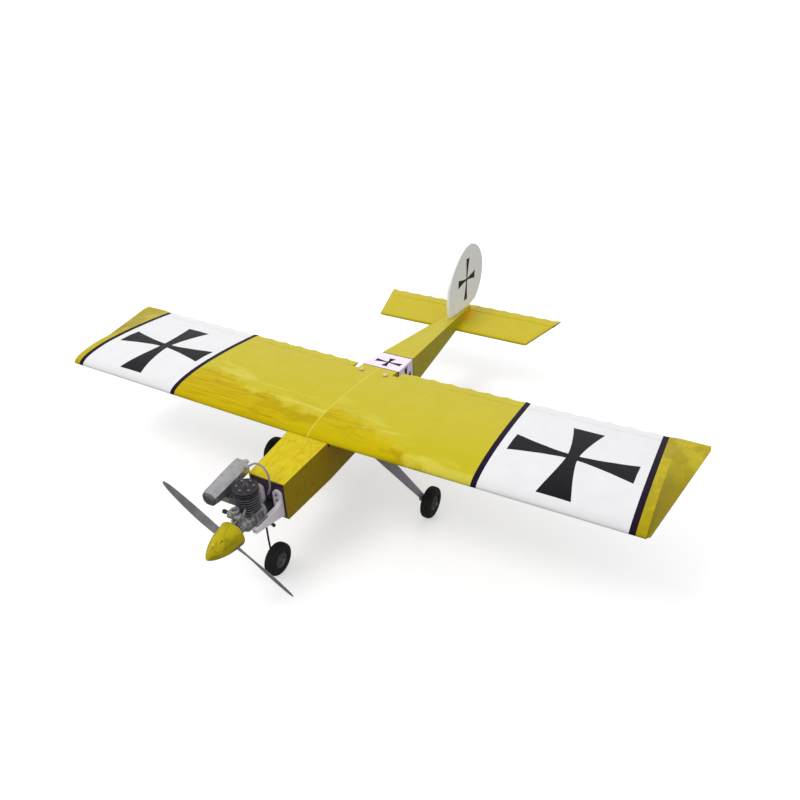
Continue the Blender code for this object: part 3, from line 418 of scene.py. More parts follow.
def rubber(name, colour, dust):
    look = Look(name, colour, 0.75)
    set_inputs(look.shader, {"Specular IOR Level": 0.3})
    cloud = look.noise((120,) * 3, 5.0)
    look.tint(look.spread(cloud, 0.45, 0.75, 0.0, 0.7), dust)
    look.gloss(cloud, 0.6, 0.85)
    look.bump(look.noise((1100,) * 3, 3.0), 0.35, 0.0003)
    return look.material


def plywood(name, colour, dark, roughness=0.6):
    look = Look(name, colour, roughness)
    grain = look.noise((260, 260, 14), 5.0, 1.0)
    look.tint(look.spread(grain, 0.4, 0.7, 0.0, 0.75), dark)
    look.gloss(grain, roughness - 0.12, roughness + 0.12)
    look.bump(grain, 0.3, 0.0004)
    return look.material


YELLOW_SHEEN = (1.0, 0.92, 0.16)
YELLOW_TONE = (0.53, 0.455, 0.007)
OLIVE = (0.47, 0.415, 0.012)
AMBER = (0.52, 0.38, 0.003)
# Amber of the painted reflection where the tailplane meets the left of the fuselage.
ROOT_REFLECTION_AMBER = (0.72, 0.40, 0.001)
DARK_SEAM = (0.20, 0.17, 0.004)


def yellow(name, colour, worn, deep, gloss=0.35):
    return film(name, colour, worn, deep, gloss, YELLOW_SHEEN)


YELLOW = yellow("yellow_film", YELLOW_TONE, OLIVE, AMBER).material
# Each wing's front carries a painted reflection, reaching and slanting differently on each side.
YELLOW_LEFT, YELLOW_RIGHT = [
    painted_front_reflection(yellow(name, YELLOW_TONE, OLIVE, (0.58, 0.46, 0.006)), reach, slope).material
    for name, reach, slope in (("yellow_left_film", 0.084, 0.30), ("yellow_right_film", 0.048, 0.16))]
TIP_LOOK, FACET_LOOK = [
    mottled_tip(yellow(name, (0.48, 0.395, 0.004), (0.53, 0.44, 0.02), (0.36, 0.28, 0.002), 0.2),
                0.55, (0.31, 0.24, 0.002))
    for name in ("yellow_tip_film", "tip_block_film")]
# Painted shade: the tip's facet darker towards the leading edge, lighter near the trailing edge where it
# is lit like the top.
FACET_LOOK.tint(FACET_LOOK.spread(FACET_LOOK.axis("Y"), 0.26, 0.16, 0.0, 0.75), (0.28, 0.21, 0.001))
# Darker copies of the yellow film for the fuselage's sides and belly: painted shade, for faces turned
# away from the light.
SHADED_SIDE_LOOK = speckled(yellow("shaded_yellow_side_film", (0.335, 0.235, 0.001), (0.27, 0.205, 0.003),
                            (0.33, 0.13, 0.001), 0.12), 0.7, (0.30, 0.12, 0.001))
SHADED_REAR_LOOK = speckled(yellow("shaded_yellow_rear_film", (0.42, 0.37, 0.004), (0.36, 0.32, 0.01),
                            (0.38, 0.26, 0.002), 0.15), 0.5, (0.30, 0.20, 0.001))
# Painted reflection of the tailplane's film on the rear of the left side.
painted_root_reflection(SHADED_REAR_LOOK, 0.012, 0.80, ROOT_REFLECTION_AMBER)
TAIL_LOOK = speckled(yellow("yellow_tail_film", (0.545, 0.445, 0.0012), (0.50, 0.415, 0.004),
                            (0.52, 0.37, 0.001), 0.24), 0.45, (0.50, 0.36, 0.001))
# Painted reflection at the tailplane's left root, and dark seams along its edges.
dark_seams(painted_root_reflection(TAIL_LOOK, 0.014, 0.7, ROOT_REFLECTION_AMBER), 0.0034, 0.55, DARK_SEAM)
DECK_LOOK = speckled(yellow("yellow_deck_film", (0.62, 0.53, 0.003), (0.58, 0.52, 0.03),
                            (0.58, 0.37, 0.001), 0.22), 0.6, (0.58, 0.34, 0.001))
DECK_LOOK.tint(DECK_LOOK.spread(DECK_LOOK.noise((150, 22, 60), 6.0, 1.6), 0.48, 0.62, 0.0, 0.62),
               (0.52, 0.30, 0.001))
YELLOW_TIP, TIP_FACET, SHADED_YELLOW_SIDE, SHADED_YELLOW_REAR, YELLOW_TAIL, YELLOW_DECK = [
    look.material for look in (TIP_LOOK, FACET_LOOK, SHADED_SIDE_LOOK, SHADED_REAR_LOOK, TAIL_LOOK, DECK_LOOK)]
# Painted light: a brighter, bluer copy of the white film, making up for the shade on the upright fin and
# the yellow light bounced onto it.
LIT_FIN_WHITE = film("lit_fin_white_film", (0.96, 0.98, 1.0), (0.88, 0.90, 0.97), (0.92, 0.94, 1.0),
                 gloss=0.25).material
WHITE = film("white_film", (0.77, 0.77, 0.775), (0.70, 0.70, 0.71), (0.73, 0.73, 0.74),
             gloss=0.25).material
LILAC = film("lilac_white_film", (0.86, 0.76, 0.88), (0.80, 0.70, 0.84), (0.82, 0.74, 0.86),
             gloss=0.25).material
PURPLE = film("purple_black_film", (0.011, 0.004, 0.018), (0.018, 0.008, 0.028),
              (0.007, 0.003, 0.011), gloss=0.06).material
BLACK = film("black_film", (0.0045, 0.0045, 0.0060), (0.009, 0.009, 0.011),
             (0.003, 0.003, 0.004), gloss=0.12).material
TAPE = yellow("joint_tape", (0.66, 0.60, 0.08), (0.60, 0.54, 0.06), (0.58, 0.47, 0.02)).material
DARK_PLY = plywood("fuelproofed_ply", (0.045, 0.022, 0.062), (0.018, 0.010, 0.028), 0.4)
PLY = plywood("birch_ply", (0.60, 0.43, 0.24), (0.42, 0.27, 0.13))
NYLON = plastic("white_nylon", (0.84, 0.80, 0.87), (0.70, 0.64, 0.76), 0.42)
CREAM_NYLON = plastic("cream_nylon", (0.66, 0.60, 0.34), (0.54, 0.48, 0.24), 0.42)
BLACK_NYLON = plastic("black_nylon", (0.012, 0.012, 0.013), (0.03, 0.03, 0.03), 0.45)
PROP_GREY = plastic("grey_glass_nylon", (0.155, 0.155, 0.165), (0.30, 0.29, 0.31), 0.38)
# The spinner's dark patches and pale streaks are painted reflections and highlights.
SPINNER_YELLOW = gloss_with_painted_reflections("yellow_gloss_plastic", (0.46, 0.38, 0.001), (0.19, 0.15, 0.001),
                               (0.64, 0.56, 0.02))
HUB_GREY = plastic("hub_plastic", (0.060, 0.060, 0.064), (0.11, 0.11, 0.12), 0.42)
SERVO = plastic("servo_case", (0.02, 0.02, 0.023), (0.04, 0.04, 0.045), 0.5)
TANK = plastic("tank_plastic", (0.72, 0.72, 0.66), (0.62, 0.62, 0.56), 0.4)
HOSE = plastic("silicone_tube", (0.30, 0.29, 0.31), (0.22, 0.21, 0.24), 0.35, 700.0)
CAST = casting("cast_aluminium", (0.46, 0.46, 0.47), (0.10, 0.10, 0.115))
CYLINDER_CAST = casting("grey_cylinder", (0.25, 0.25, 0.26), (0.09, 0.09, 0.10), 0.40)
# Painted shade for the walls between the fins of the cylinder and the head.
FIN_RECESS_SHADE = casting("fin_recess_shade_casting", (0.060, 0.058, 0.066), (0.020, 0.019, 0.023), 0.5)
MUFFLER_CAST = casting("muffler_casting", (0.46, 0.46, 0.465), (0.31, 0.31, 0.315), 0.34, 0.06)
END_CAP = casting("muffler_end_cap", (0.20, 0.20, 0.205), (0.07, 0.07, 0.075), 0.44)
DARK_HEAD = casting("dark_anodised_head", (0.105, 0.085, 0.120), (0.028, 0.024, 0.034), 0.34)
STEEL = brushed("plain_steel", (0.42, 0.42, 0.43), (0.25, 0.25, 0.26), 0.28)
BLACK_WIRE = brushed("black_wire", (0.030, 0.030, 0.032), (0.015, 0.015, 0.016), 0.38)
BRASS = brushed("tarnished_brass", (0.28, 0.24, 0.17), (0.12, 0.10, 0.07), 0.36)
DURAL = brushed("dural_strap", (0.30, 0.285, 0.33), (0.20, 0.19, 0.23), 0.42, (500, 500, 25))
TYRE = rubber("tyre_rubber", (0.008, 0.008, 0.008), (0.020, 0.020, 0.020))


# ================================================================ mesh helpers
def piece(name, bm, materials, body, nodes=(), slot=None, origin=(0, 0, 0), smooth=35.0,
          bevel=0.0, segments=2):
    """Make an object of a bmesh in airframe coordinates, and let it ride on a CAD body."""
    bmesh.ops.remove_doubles(bm, verts=bm.verts, dist=1e-6)
    bmesh.ops.dissolve_degenerate(bm, edges=bm.edges, dist=1e-6)
    bmesh.ops.recalc_face_normals(bm, faces=bm.faces)
    bmesh.ops.translate(bm, verts=bm.verts, vec=-Vector(origin))
    mesh = bpy.data.meshes.new(name)
    bm.to_mesh(mesh)
    bm.free()
    for material in materials if isinstance(materials, (list, tuple)) else [materials]:
        mesh.materials.append(material)
    mesh.shade_smooth()
    mesh.set_sharp_from_angle(angle=math.radians(smooth))
    obj = bpy.data.objects.new(name, mesh)
    bpy.context.scene.collection.objects.link(obj)
    obj.matrix_world = STANCE @ Matrix.Translation(origin)
    if bevel:
        edge = obj.modifiers.new("edge", "BEVEL")
        edge.width = bevel
        edge.segments = segments
        edge.limit_method = "ANGLE"
        edge.angle_limit = math.radians(30)
        edge.harden_normals = True
    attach(obj, body)
    if nodes:
        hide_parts(*nodes)
    return obj


def carve(obj, cutter_mesh):
    """Cut away a temporary shape given in airframe coordinates, and keep the result."""
    bmesh.ops.recalc_face_normals(cutter_mesh, faces=cutter_mesh.faces)
    data = bpy.data.meshes.new("cutter")
    cutter_mesh.to_mesh(data)
    cutter_mesh.free()
    cutter = bpy.data.objects.new("cutter", data)
    bpy.context.scene.collection.objects.link(cutter)
    cutter.matrix_world = STANCE
    cut = obj.modifiers.new("cut", "BOOLEAN")
    cut.operation = "DIFFERENCE"
    cut.solver = "EXACT"
    cut.object = cutter
    bpy.context.view_layer.update()
    graph = bpy.context.evaluated_depsgraph_get()
    carved = bpy.data.meshes.new_from_object(obj.evaluated_get(graph))
    obj.modifiers.remove(cut)
    obj.data = carved
    bpy.data.objects.remove(cutter)


def box(lo, hi):
    bm = bmesh.new()
    made = bmesh.ops.create_cube(bm, size=1.0)["verts"]
    bmesh.ops.scale(bm, verts=made, vec=Vector(hi) - Vector(lo))
    bmesh.ops.translate(bm, verts=made, vec=(Vector(hi) + Vector(lo)) / 2)
    return bm


def merge(*meshes):
    """Gather several bmeshes in the first one."""
    target = meshes[0]
    for other in meshes[1:]:
        data = bpy.data.meshes.new("part")
        other.to_mesh(data)
        other.free()
        target.from_mesh(data)
        bpy.data.meshes.remove(data)
    return target


def loft(rings, zone=lambda k: 0):
    """Skin closed rings of points and cap both ends; zone gives each span its material index."""
    bm = bmesh.new()
    loops = [[bm.verts.new(p) for p in ring] for ring in rings]
    count = len(rings[0])
    for k, (a, b) in enumerate(zip(loops, loops[1:])):
        for i in range(count):
            j = (i + 1) % count
            face = bm.faces.new((a[i], a[j], b[j], b[i]))
            face.material_index = zone(k)
    bm.faces.new(loops[0])
    bm.faces.new(loops[-1])
    return bm


THRUST_LINE = Vector((0, 0, THRUST_Z))
AXES = {"x": Vector((1, 0, 0)), "y": Vector((0, 1, 0)), "z": Vector((0, 0, 1))}
SIDEWAYS = {"x": Vector((0, 0, 1)), "y": Vector((1, 0, 0)), "z": Vector((1, 0, 0))}


def lathe(profile, axis, centre, steps=48, ring=False):
    """Spin (radius, height) points about an axis through centre."""
    along, out = AXES[axis], SIDEWAYS[axis]
    across = along.cross(out)
    bm = bmesh.new()
    rows = []
    for r, h in profile:
        middle = Vector(centre) + along * h
        if r < 1e-7:
            rows.append([bm.verts.new(middle)] * steps)
            continue
        rows.append([bm.verts.new(middle + (out * math.cos(t) + across * math.sin(t)) * r)
                     for t in (2 * math.pi * k / steps for k in range(steps))])
    pairs = list(zip(rows, rows[1:]))
    if ring:
        pairs.append((rows[-1], rows[0]))
    for a, b in pairs:
        for i in range(steps):
            j = (i + 1) % steps
            corners = []
            for vert in (a[i], a[j], b[j], b[i]):
                if vert not in corners:
                    corners.append(vert)
            if len(corners) > 2:
                bm.faces.new(corners)
    return bm


def chamfered(inner, outer, lo, hi, edge=0.0004):
    """Profile of a disc or ring with its outer corners cut back."""
    return [(inner, lo), (outer - edge, lo), (outer, lo + edge), (outer, hi - edge),
            (outer - edge, hi), (inner, hi)]


def rod(r, h0, h1, axis, centre, steps=24, edge=0.0):
    """Solid cylinder, with a chamfer of size edge at both ends."""
    profile = chamfered(0, r, h0, h1, edge) if edge else [(0, h0), (r, h0), (r, h1), (0, h1)]
    return lathe(profile, axis, centre, steps)


def screw_head(centre, axis, r, height, sign=1):
    """Cap screw: a short drum with a socket in its end, facing along the axis or back."""
    top, floor_of_socket = sign * height, sign * height * 0.45
    return lathe([(0, 0), (r, 0), (r, top * 0.8), (r * 0.88, top), (r * 0.5, top),
                  (r * 0.45, floor_of_socket), (0, floor_of_socket)], axis, centre, 16)


def hexagon(centre, axis, r, h0, h1):
    return lathe([(0, h0), (r * 0.9, h0), (r, h0 + 0.0004), (r, h1 - 0.0004), (r * 0.9, h1), (0, h1)],
                 axis, centre, 6)


def around(count, start, radius, across, up):
    """Evenly spaced places on a circle, from a start angle in degrees."""
    angles = [math.radians(start + 360 / count * k) for k in range(count)]
    return [(AXES[across] * math.cos(a) + AXES[up] * math.sin(a)) * radius for a in angles]


def about_thrust_line(bm, angle):
    """Turn a shape about the Y axis and lift it to the engine's centre line."""
    bmesh.ops.rotate(bm, verts=bm.verts, cent=(0, 0, 0), matrix=Matrix.Rotation(angle, 3, "Y"))
    bmesh.ops.translate(bm, verts=bm.verts, vec=THRUST_LINE)
    return bm


def prism(outline, axis, lo, hi):
    """Extrude a flat outline along an axis; outline holds the other two coordinates."""
    order = {"x": lambda a, b, h: (h, a, b), "y": lambda a, b, h: (a, h, b),
             "z": lambda a, b, h: (a, b, h)}[axis]
    return loft([[order(a, b, h) for a, b in outline] for h in (lo, hi)])


def curve_through(points, per_span=6):
    """Catmull-Rom curve through given points."""
    pts = [Vector(p) for p in points]
    full = [2 * pts[0] - pts[1]] + pts + [2 * pts[-1] - pts[-2]]
    route = []
    for p0, p1, p2, p3 in zip(full, full[1:], full[2:], full[3:]):
        for k in range(per_span):
            t = k / per_span
            route.append(0.5 * (2 * p1 + (p2 - p0) * t + (2 * p0 - 5 * p1 + 4 * p2 - p3) * t ** 2
                                + (3 * p1 - p0 - 3 * p2 + p3) * t ** 3))
    route.append(pts[-1])
    return route


def rounded(corners, radius, steps=8):
    """Replace each inner corner of a route by a bend."""
    pts = [Vector(c) for c in corners]
    route = [pts[0]]
    for before, here, after in zip(pts, pts[1:], pts[2:]):
        a, b = (before - here).normalized(), (after - here).normalized()
        reach = min(radius, (before - here).length * 0.45, (after - here).length * 0.45)
        p, q = here + a * reach, here + b * reach
        for k in range(steps + 1):
            t = k / steps
            route.append(p * (1 - t) ** 2 + here * 2 * t * (1 - t) + q * t ** 2)
    route.append(pts[-1])
    return route


def sweep(route, radius, sides=16):
    """Round tube along a route, its ring carried along without twisting."""
    rings = []
    tangent = (route[1] - route[0]).normalized()
    across = tangent.orthogonal().normalized()
    for k, here in enumerate(route):
        before, after = route[max(k - 1, 0)], route[min(k + 1, len(route) - 1)]
        tangent = (after - before).normalized()
        across = (across - tangent * across.dot(tangent)).normalized()
        other = tangent.cross(across)
        rings.append([here + (across * math.cos(t) + other * math.sin(t)) * radius
                      for t in (2 * math.pi * i / sides for i in range(sides))])
    return loft(rings)


def slab(columns, rows, top, bottom, present=lambda i, j: True, zone=lambda i, j: 0):
    """Closed plate over a grid of cells. top and bottom give the points at each crossing."""
    bm = bmesh.new()
    over = [[bm.verts.new(top(i, j)) for j in range(rows + 1)] for i in range(columns + 1)]
    under = [[bm.verts.new(bottom(i, j)) for j in range(rows + 1)] for i in range(columns + 1)]

    def here(i, j):
        return 0 <= i < columns and 0 <= j < rows and present(i, j)

    for i in range(columns):
        for j in range(rows):
            if not here(i, j):
                continue
            corners = ((i, j), (i + 1, j), (i + 1, j + 1), (i, j + 1))
            bm.faces.new([over[a][b] for a, b in corners]).material_index = zone(i, j)
            bm.faces.new([under[a][b] for a, b in corners[::-1]]).material_index = zone(i, j)
            nexts = ((i, j - 1), (i + 1, j), (i, j + 1), (i - 1, j))
            for side in range(4):
                (a, b), (c, d) = corners[side], corners[(side + 1) % 4]
                thick = (over[a][b].co - under[a][b].co).length + (over[c][d].co - under[c][d].co).length
                if not here(*nexts[side]) and thick > 1e-6:
                    wall = bm.faces.new((over[a][b], under[a][b], under[c][d], over[c][d]))
                    wall.material_index = zone(i, j)
    loose = [v for v in bm.verts if not v.link_faces]
    bmesh.ops.delete(bm, geom=loose, context="VERTS")
    return bm


def cell_zone(places, zone):
    """Material index of a slab's cells, from the middle of each span between two places."""
    return lambda i, j: zone((places[i] + places[i + 1]) / 2)


def between(table, x):
    """Values of a table of (x, value, ...) rows at x, along straight lines between its rows."""
    for (x0, *low), (x1, *high) in zip(table, table[1:]):
        if x <= x1:
            break
    share = (x - x0) / (x1 - x0)
    return [a + (b - a) * share for a, b in zip(low, high)]


def stations(start, end, step, marks=()):
    """Evenly spaced stations, with the marks in place of any station too near to them."""
    count = max(1, round((end - start) / step))
    even = [start + (end - start) * k / count for k in range(count + 1)]
    free = [x for x in even[1:-1] if all(abs(x - mark) > step * 0.3 for mark in marks)]
    return sorted({even[0], even[-1], *free, *marks})


# ================================================================ wing
def half_thickness(y, ratio):
    c = min(max(y / CHORD, 0.0), 1.0)
    curve = (0.2969 * math.sqrt(c) - 0.1260 * c - 0.3516 * c ** 2
             + 0.2843 * c ** 3 - 0.1036 * c ** 4)
    return 5 * ratio * curve * CHORD + TE_HALF * c


def ripple(x, y):
    """Film that is not quite tight: long shallow waves along the span."""
    fade = min(1.0, y / 0.012)
    long_wave = noise.noise(Vector((x * 7.0, y * 48.0, 1.7)))
    short_wave = noise.noise(Vector((x * 21.0, y * 120.0, 5.2)))
    return fade * (0.00028 * long_wave + 0.00008 * short_wave)


def bay_sag(x, y):
    """The covering sinks a little between two ribs, behind the sheeted leading edge."""
    f = ((abs(x) - RIB_FIRST) / RIB_PITCH) % 1.0
    across = 1 - (2 * f - 1) ** 2
    along = min(1.0, max(0.0, (y - SHEETING_Y) / 0.03)) * min(1.0, max(0.0, (CHORD - y) / 0.05))
    return SAG * across * along


def wing_top(x, y):
    return half_thickness(y, UPPER_T) + abs(x) * DIHEDRAL - bay_sag(x, y) + ripple(x, y)


def wing_low(x, y):
    return -half_thickness(y, LOWER_T) + abs(x) * DIHEDRAL + bay_sag(x, y) - ripple(x, y + 1.0) * 0.6


def scallop(x, first, pitch, depth):
    f = ((x - first) / pitch) % 1.0
    return depth * (1 - (2 * f - 1) ** 2)


BANDS = tuple(middle + side * BAND_WIDTH / 2 for middle in (BAND_IN, BAND_OUT) for side in (-1, 1))
WING_LOOKS = {side: [yellow, PURPLE, WHITE, YELLOW_TIP, TIP_FACET]
              for side, yellow in ((1, YELLOW_LEFT), (-1, YELLOW_RIGHT))}


def band_zone(x):
    """Yellow, dark band, white, dark band, yellow, from the middle of the wing outwards."""
    order = sum(x > edge for edge in BANDS)
    return (0, 1, 2, 1, 3)[order]


def wing_panel(name, side):
    """Half wing in one closed skin: ribbed part, then the flat raked tip."""
    nose = [HINGE_Y * (1 - math.cos(math.pi / 2 * k / 40)) ** 1.15 for k in range(41)]
    rows = nose + [0.3020, 0.3110, CENTRE_TE_Y, CHORD]
    inner = stations(GAP / 2, RIB_END, RIB_PITCH / 5, (CENTRE_TE_X, *BANDS, AILERON_OUT + 0.0006))
    tips = [k / 8 for k in range(1, 9)]
    columns = [(x, 0.0) for x in inner] + [(RIB_END, t) for t in tips]

    def point(i, j, surface, sign):
        x, t = columns[i]
        y = rows[j]
        if t == 0:
            laps = sign > 0 and j == len(nose) - 1 and CENTRE_TE_X < x < AILERON_OUT
            return (side * x, y + (HINGE_LAP if laps else 0.0), surface(x, y))
        c = y / CHORD
        edge_x = TIP_LE + (TIP_TE - TIP_LE) * c - 0.004 * max(0.0, 1 - abs(c - 1) / 0.04)
        edge_y = TIP_START_Y + (TIP_END_Y - TIP_START_Y) * c
        edge_z = edge_x * DIHEDRAL + (TIP_EDGE_HALF * sign if j else 0.0)
        sink = 0.0012 * math.sin(math.pi * t) * (1 if 0 < c < 0.97 else 0)
        return (side * (x + (edge_x - x) * t), y + (edge_y - y) * t,
                surface(x, y) * (1 - t) + edge_z * t - sign * sink)

    def present(i, j):
        x = (columns[i][0] + columns[min(i + 1, len(columns) - 1)][0]) / 2
        if rows[j] < HINGE_Y - 1e-6 or x > AILERON_OUT:
            return True
        return x < CENTRE_TE_X and rows[j] < CENTRE_TE_Y - 1e-6

    def zone(i, j):
        if columns[i + 1][1] > 0:
            return 4
        return band_zone((columns[i][0] + columns[i + 1][0]) / 2)

    bm = slab(len(columns) - 1, len(rows) - 1,
              lambda i, j: point(i, j, wing_top, 1), lambda i, j: point(i, j, wing_low, -1),
              present, zone)
    piece(name + "_skin", bm, WING_LOOKS[side], "airframe", [name], "film_yellow", smooth=32)


def aileron(name, side):
    """Strip aileron, hinged at the top, the film drawn in between its ribs at the rear edge."""
    front = HINGE_Y + HINGE_GAP
    xs = stations(AILERON_IN, AILERON_OUT, RIB_PITCH / 8, BANDS)
    shares = [0.0, 0.03, 0.12, 0.3, 0.5, 0.7, 0.88, 0.97, 1.0]
    depth = half_thickness(front, UPPER_T) + half_thickness(front, LOWER_T)
    shoulder = depth * 0.52

    start, end = -half_thickness(front + 0.004, LOWER_T), -TE_HALF * 0.9

    def edge_y(x):
        return CHORD - scallop(x, RIB_FIRST, RIB_PITCH, SCALLOP)

    def sag(x, share):
        return scallop(x, RIB_FIRST, RIB_PITCH, SAG) * math.sin(math.pi * share)

    def top(i, j):
        x = xs[i]
        y = front + (edge_y(x) - front) * shares[j]
        return (side * x, y, half_thickness(y, UPPER_T) + x * DIHEDRAL - sag(x, shares[j]))

    def bottom(i, j):
        x = xs[i]
        y = front + shoulder + (edge_y(x) - front - shoulder) * shares[j]
        return (side * x, y, start + (end - start) * shares[j] + x * DIHEDRAL + sag(x, shares[j]))

    bm = slab(len(xs) - 1, len(shares) - 1, top, bottom, zone=cell_zone(xs, band_zone))
    piece(name + "_skin", bm, WING_LOOKS[side], name + "_body", [name], "film_yellow", smooth=30)


FILM_LIFT = 0.00016


def thin_sheet(bm, point, places):
    """Closed sheet of film over a grid of (u, v) places on a surface."""
    grid = [[(bm.verts.new(point(u, v, FILM_LIFT)), bm.verts.new(point(u, v, -FILM_LIFT * 0.5)))
             for u, v in row] for row in places]
    for a, b in zip(grid, grid[1:]):
        for j in range(len(a) - 1):
            for level, turn in ((0, 1), (1, -1)):
                corners = [a[j][level], a[j + 1][level], b[j + 1][level], b[j][level]]
                bm.faces.new(corners[::turn])
        for j in (0, len(a) - 1):
            bm.faces.new((a[j][0], b[j][0], b[j][1], a[j][1]))
    for row in (grid[0], grid[-1]):
        for a, b in zip(row, row[1:]):
            bm.faces.new((a[0], b[0], b[1], a[1]))


def cross_mesh(point, reach, half_end, waist, power, steps=22):
    """Cross with straight ends and hollow sides, laid on a surface.

    point(u, v, lift) is the surface; reach and half_end hold the arms' lengths and half
    widths towards +u, +v, -u and -v; waist the half widths of the u arms and of the v arms
    where they meet.
    """
    bm = bmesh.new()
    breadths = [m / 4 for m in range(-4, 5)]
    for arm in range(4):
        rows = []
        across, start = waist[arm % 2], waist[1 - arm % 2]
        for k in range(steps + 1):
            s = start + (reach[arm] - start) * k / steps
            half = across + (half_end[arm] - across) * (k / steps) ** power
            rows.append([((s, half * m), (-half * m, s), (-s, -half * m), (half * m, -s))[arm]
                         for m in breadths])
        thin_sheet(bm, point, rows)
    thin_sheet(bm, point, [[(waist[1] * a, waist[0] * b) for b in breadths] for a in breadths])
    return bm


WING_CROSS = (0.5320, 0.1455)


def wing_cross(name, side):
    """Cross on top of a panel; its rear arm leans a little, differently on each side."""
    lean = 0.0045 if side > 0 else -0.0110

    def on_wing(u, v, lift):
        x = WING_CROSS[0] + u + lean * max(0.0, v / 0.11)
        y = WING_CROSS[1] + v - 0.0028 * max(0.0, u / 0.125)
        slope = (wing_top(x, y + 0.001) - wing_top(x, y - 0.001)) / 0.002
        return (side * x, y - slope * lift, wing_top(x, y) + lift)

    bm = cross_mesh(on_wing, (0.1250, 0.1125, 0.1260, 0.1240), (0.0308, 0.0330, 0.0308, 0.0338),
                    (0.0078, 0.0114), 1.4)
    piece(name, bm, BLACK, "airframe", slot="film_yellow", smooth=50)


def centre_tape():
    """Strip of film over the joint between the two panels."""
    ys = [CENTRE_TE_Y * (1 - math.cos(math.pi / 2 * k / 30)) for k in range(31)]
    half = 0.0014

    def level(lift):
        def at(i, j):
            x = (-half, half)[i]
            y = max(ys[j], 0.0004)
            return (x, y - (0.0002 if j == 0 else 0), wing_top(abs(x), y) + lift)
        return at

    bm = slab(1, len(ys) - 1, level(0.0003), level(-0.0001))
    piece("wing_joint_tape", bm, TAPE, "airframe", slot="film_yellow")


for label, side in (("left", 1), ("right", -1)):
    wing_panel(f"wing_{label}", side)
    aileron(f"aileron_{label}", side)
    wing_cross(f"wing_{label}_cross", side)
centre_tape()


# ================================================================ fuselage
def half_width(y):
    return between(WIDTHS, y)[0]


def deck_z(y):
    if y < 0:
        return NOSE_TOP + (SADDLE_TOP - NOSE_TOP) * (y - NOSE_Y) / -NOSE_Y
    return DECK_Z - DECK_FALL * (y - DECK_Y)


def belly_z(y):
    if y < BELLY_FLAT_Y:
        return BELLY_Z
    t = (y - BELLY_FLAT_Y) / (STAB_LE_Y - BELLY_FLAT_Y)
    return BELLY_Z + (BELLY_TAIL_Z - BELLY_Z) * min(t, 1.0)


def side_top(y):
    """Top of a side: the nose deck, the wing saddle, then the rear deck."""
    if y < DECK_END_Y + 0.00005 or y > DECK_Y - 0.0001:
        return deck_z(y)
    if y < SADDLE_STEP[0]:
        return SADDLE_STEP[1]
    return -half_thickness(y, LOWER_T) - 2 * GAP


STATION_STEP = 0.0125
BLOCK_MARKS = (DECK_Y, DECK_Y + BLOCK_LINE, BLOCK_END_Y - BLOCK_LINE, BLOCK_END_Y)


def block_zone(y):
    """Yellow, then the white block between two dark lines, then yellow again."""
    order = sum(y > mark for mark in BLOCK_MARKS)
    return (0, 1, 2, 1, 3)[order]


def covered_sheet(name, ys, columns, outer, inner, looks, zone):
    bm = slab(len(ys) - 1, columns, outer, inner, zone=cell_zone(ys, zone))
    piece(name + "_skin", bm, looks, "airframe", [name], "covered_wood", smooth=30, bevel=0.0004)


def fuselage_side(name, side):
    """Side sheet from the firewall to the tail post, cut down for the wing and the tailplane."""
    ys = stations(NOSE_Y, TAIL_Y, STATION_STEP,
                  (DECK_END_Y, DECK_END_Y + 0.0001, SADDLE_STEP[0], BELLY_FLAT_Y, DECK_Y - 0.0002,
                   *BLOCK_MARKS, STAB_LE_Y - GAP))
    shares = [k / 8 for k in range(9)]
    seat = BELLY_TAIL_Z + STAB_T + GAP

    def height(y, share):
        low = seat if y > STAB_LE_Y else belly_z(y)
        return low + (side_top(y) - low) * share

    def slack(y, z):
        """The film waves in and out a little over the sheet."""
        return 0.0002 * noise.noise(Vector((side * 2.0, y * 22.0, z * 60.0)))

    def outer(i, j):
        y, z = ys[i], height(ys[i], shares[j])
        return (side * (half_width(y) + slack(y, z)), y, z)

    def inner(i, j):
        y = ys[i]
        z = height(y, shares[j])
        mitred = y < 0 or y >= DECK_Y
        if j == len(shares) - 1 and mitred and side_top(y) > -0.08:
            z -= SKIN
        if j == 0 and y < STAB_LE_Y:
            z += SKIN
        return (side * (half_width(y) - SKIN), y, z)

    # The sides wear the darker, painted-shade copies of the yellow film.
    covered_sheet(name, ys, len(shares) - 1, outer, inner,
                  [SHADED_YELLOW_SIDE, PURPLE, LILAC, SHADED_YELLOW_REAR], block_zone)


def deck(name, y0, y1, looks, zone):
    """Top sheet, mitred to the sides along its edges."""
    ys = stations(y0, y1, STATION_STEP, [m for m in BLOCK_MARKS if y0 < m < y1])
    shares = [-1 + k / 5 for k in range(11)]
    margin = GAP * 1.5

    def outer(i, j):
        y = ys[i]
        z = deck_z(y) + 0.00018 * noise.noise(Vector((shares[j] * 3.0, y * 18.0, 9.0)))
        return (shares[j] * (half_width(y) - margin), y, z)

    def inner(i, j):
        y = ys[i]
        return (shares[j] * max(half_width(y) - margin - SKIN, 0.001), y, deck_z(y) - SKIN)

    covered_sheet(name, ys, len(shares) - 1, outer, inner, looks, zone)


fuselage_side("fuselage_side_left", 1)
fuselage_side("fuselage_side_right", -1)
deck("nose_deck", NOSE_Y, DECK_END_Y, [YELLOW_DECK], lambda y: 0)
deck("rear_deck", DECK_Y, TAIL_Y, [YELLOW, PURPLE, LILAC, YELLOW], block_zone)

DECK_CROSS_Y = 0.3635
SIDE_CROSS = (0.3680, -0.0440)
DECAL_LIFT = 0.0001


def deck_cross():
    def on_deck(u, v, lift):
        y = DECK_CROSS_Y + v
        return (u, y, deck_z(y) + lift + DECAL_LIFT)

    bm = cross_mesh(on_deck, (0.0350, 0.0245) * 2, (0.0080, 0.0085) * 2, (0.0024, 0.0030), 1.5)
    piece("deck_cross", bm, PURPLE, "airframe", slot="covered_wood")


